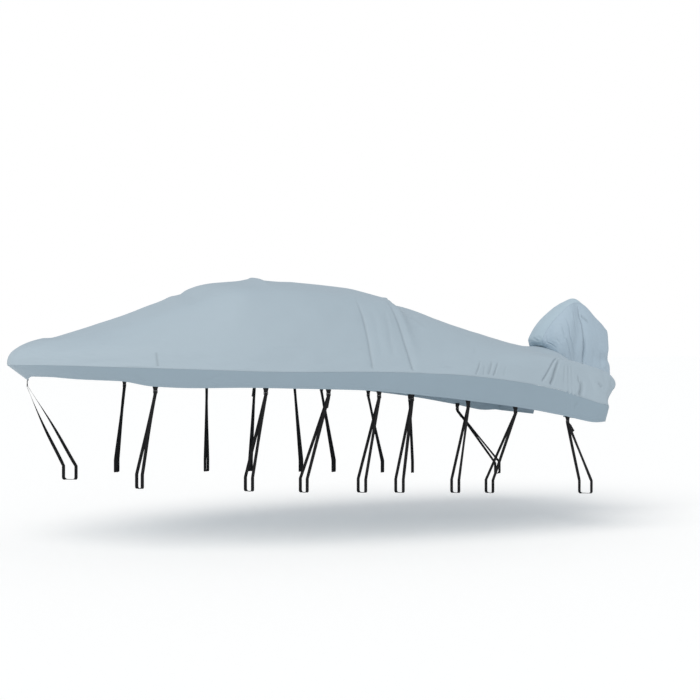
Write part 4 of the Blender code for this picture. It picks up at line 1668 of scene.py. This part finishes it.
@dataclass
class TieDowns:
    """Loops of webbing, each on a buckle that hangs from a tab at the hem."""

    skirt: Skirt
    rows: Table = Table(
        ("hem_x", "foot_x", "foot_y", "spread", "tail", "twist"),
        ((3.74, 3.83, 0.60, 0.016, 0.00, 24.0), (2.96, 3.02, 0.74, 0.020, 0.00, -14.0),
         (2.49, 2.60, 0.80, 0.018, 0.09, 10.0), (2.09, 2.12, 0.80, 0.020, 0.00, -8.0),
         (1.82, 1.80, 0.80, 0.020, 0.00, 26.0), (1.34, 1.31, 0.80, 0.018, 0.00, -20.0),
         (0.91, 1.00, 0.80, 0.016, 0.00, 8.0), (0.41, 0.09, 0.80, 0.040, 0.07, -26.0)))
    bow: Tie = Tie("bow", Side.PORT, 4.60, (4.28, 0.0), 0.045, at_stem=True)
    tab: HemTab = field(default_factory=HemTab)
    buckle: LadderBuckle = field(default_factory=LadderBuckle)
    loop: WebbingLoop = field(default_factory=WebbingLoop)

    def tabs(self) -> np.ndarray:
        """Where the tabs hang along each side."""
        return self.rows.column("hem_x")

    def ties(self) -> list[Tie]:
        """List every tie-down of the cover.

        Returns:
            The tie-downs of both sides, and the bow's.
        """
        along = [Tie(f"{side.word}_{number}", side, hem_x, (foot_x, side.value * foot_y), *rest)
                 for side in Side
                 for number, (hem_x, foot_x, foot_y, *rest) in enumerate(self.rows.rows, start=1)]
        return along + [self.bow]

    def heading(self, tie: Tie) -> float:
        """The direction of the hem at a tie-down, as a turn about the upright.

        Args:
            tie: the tie-down.

        Returns:
            The turn, in radians.
        """
        if tie.at_stem:
            return math.pi / 2.0
        top = self.skirt.top(tie.side)[:len(self.skirt.deck.cuts)]
        hem = self.skirt.bottom(tie.side, top)
        order = np.argsort(hem[:, 0])
        half = self.tab.width / 2.0
        fore, aft = (np.interp(tie.hem_x + step, hem[order, 0], hem[order, 1])
                     for step in (half, -half))
        return math.atan2(fore - aft, 2.0 * half)

    def build(self, room: Workroom) -> None:
        """Build every tie-down's tab, buckle and loop.

        Args:
            room: the workroom.
        """
        for tie in self.ties():
            turn = self.heading(tie)
            for piece in (self.tab, self.buckle, self.loop):
                piece.build(tie, turn, room)


# ---------------------------------------------------------------- studio
@dataclass
class Studio:
    """Camera, light, floor and background."""

    eye: tuple[float, float, float] = (2.39, 8.905, -0.600)
    heading: float = 160.0              # degrees about the upright, 0 along +Y
    lens: float = 56.57
    sensor: float = 36.0
    floor: float = -2.12
    floor_size: float = 400.0
    key_from: tuple[float, float, float] = (0.45, 0.38, 0.85)
    key_colour: Colour = (1.0, 0.97, 0.93)
    key_spread: float = 50.0            # degrees across, as a wide soft source
    key_strength: float = 1.65
    sky_colour: Colour = (0.90, 0.98, 1.06)
    sky_strength: float = 0.49
    paper: PaleFloor = PaleFloor("pale_floor", (0.92, 0.90, 0.88))

    def camera(self) -> None:
        """The photo's eye: level, turned twenty degrees aft of the beam."""
        lens = bpy.data.cameras.new("camera")
        lens.sensor_width = self.sensor
        lens.lens = self.lens
        eye = show("camera", lens)
        eye.location = self.eye
        eye.rotation_euler = (math.pi / 2.0, 0.0, math.radians(self.heading))
        bpy.context.scene.camera = eye

    def key(self) -> None:
        """One wide light from high over the port bow."""
        lamp = bpy.data.lights.new("key", "SUN")
        lamp.angle = math.radians(self.key_spread)
        lamp.energy = self.key_strength
        lamp.color = self.key_colour
        shown = show("key", lamp)
        shown.rotation_euler = (-Vector(self.key_from)).to_track_quat("-Z", "Y").to_euler()

    def sky(self) -> None:
        """An even glow all round, seen as plain white."""
        world = bpy.data.worlds.new("studio")
        bpy.context.scene.world = world
        world.use_nodes = True
        graph = Graph(world.node_tree)
        background = graph.tree.nodes["Background"]
        graph.put(background, {"Color": shade(self.sky_colour, 1.0),
                               "Strength": self.sky_strength})
        seen = graph.add("ShaderNodeBackground", inputs={"Color": WHITE})
        by_eye = graph.add("ShaderNodeLightPath", out="Is Camera Ray")
        either = graph.add("ShaderNodeMixShader",
                           inputs={0: by_eye, 1: Socket(graph, background.outputs[0]), 2: seen})
        graph.put(graph.tree.nodes["World Output"], {"Surface": either})
        bpy.context.scene.view_settings.view_transform = "Standard"

    def ground(self) -> None:
        """The pale floor."""
        form = bmesh.new()
        bmesh.ops.create_grid(form, x_segments=2, y_segments=2, size=self.floor_size / 2.0)
        bmesh.ops.translate(form, verts=form.verts, vec=(0.0, 0.0, self.floor))
        mesh = mesh_of(form, "floor")
        mesh.materials.append(self.paper.material())
        floor = show("floor", mesh)

    def build(self) -> None:
        """Set up everything round the cover."""
        self.camera()
        self.key()
        self.sky()
        self.ground()


def main() -> None:
    """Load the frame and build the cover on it."""
    logging.basicConfig(level=logging.INFO, format="%(name)s: %(message)s")
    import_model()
    Studio().build()
    room = Workroom()
    deck = Deck()
    skirt = Skirt(deck)
    ties = TieDowns(skirt)
    for side in Side:
        deck.panel(side, room)
        skirt.panel(side, room, ties.tabs())
    Hood(deck).build(room)
    ties.build(room)
    bpy.context.view_layer.update()


if __name__ == "__main__":
    main()
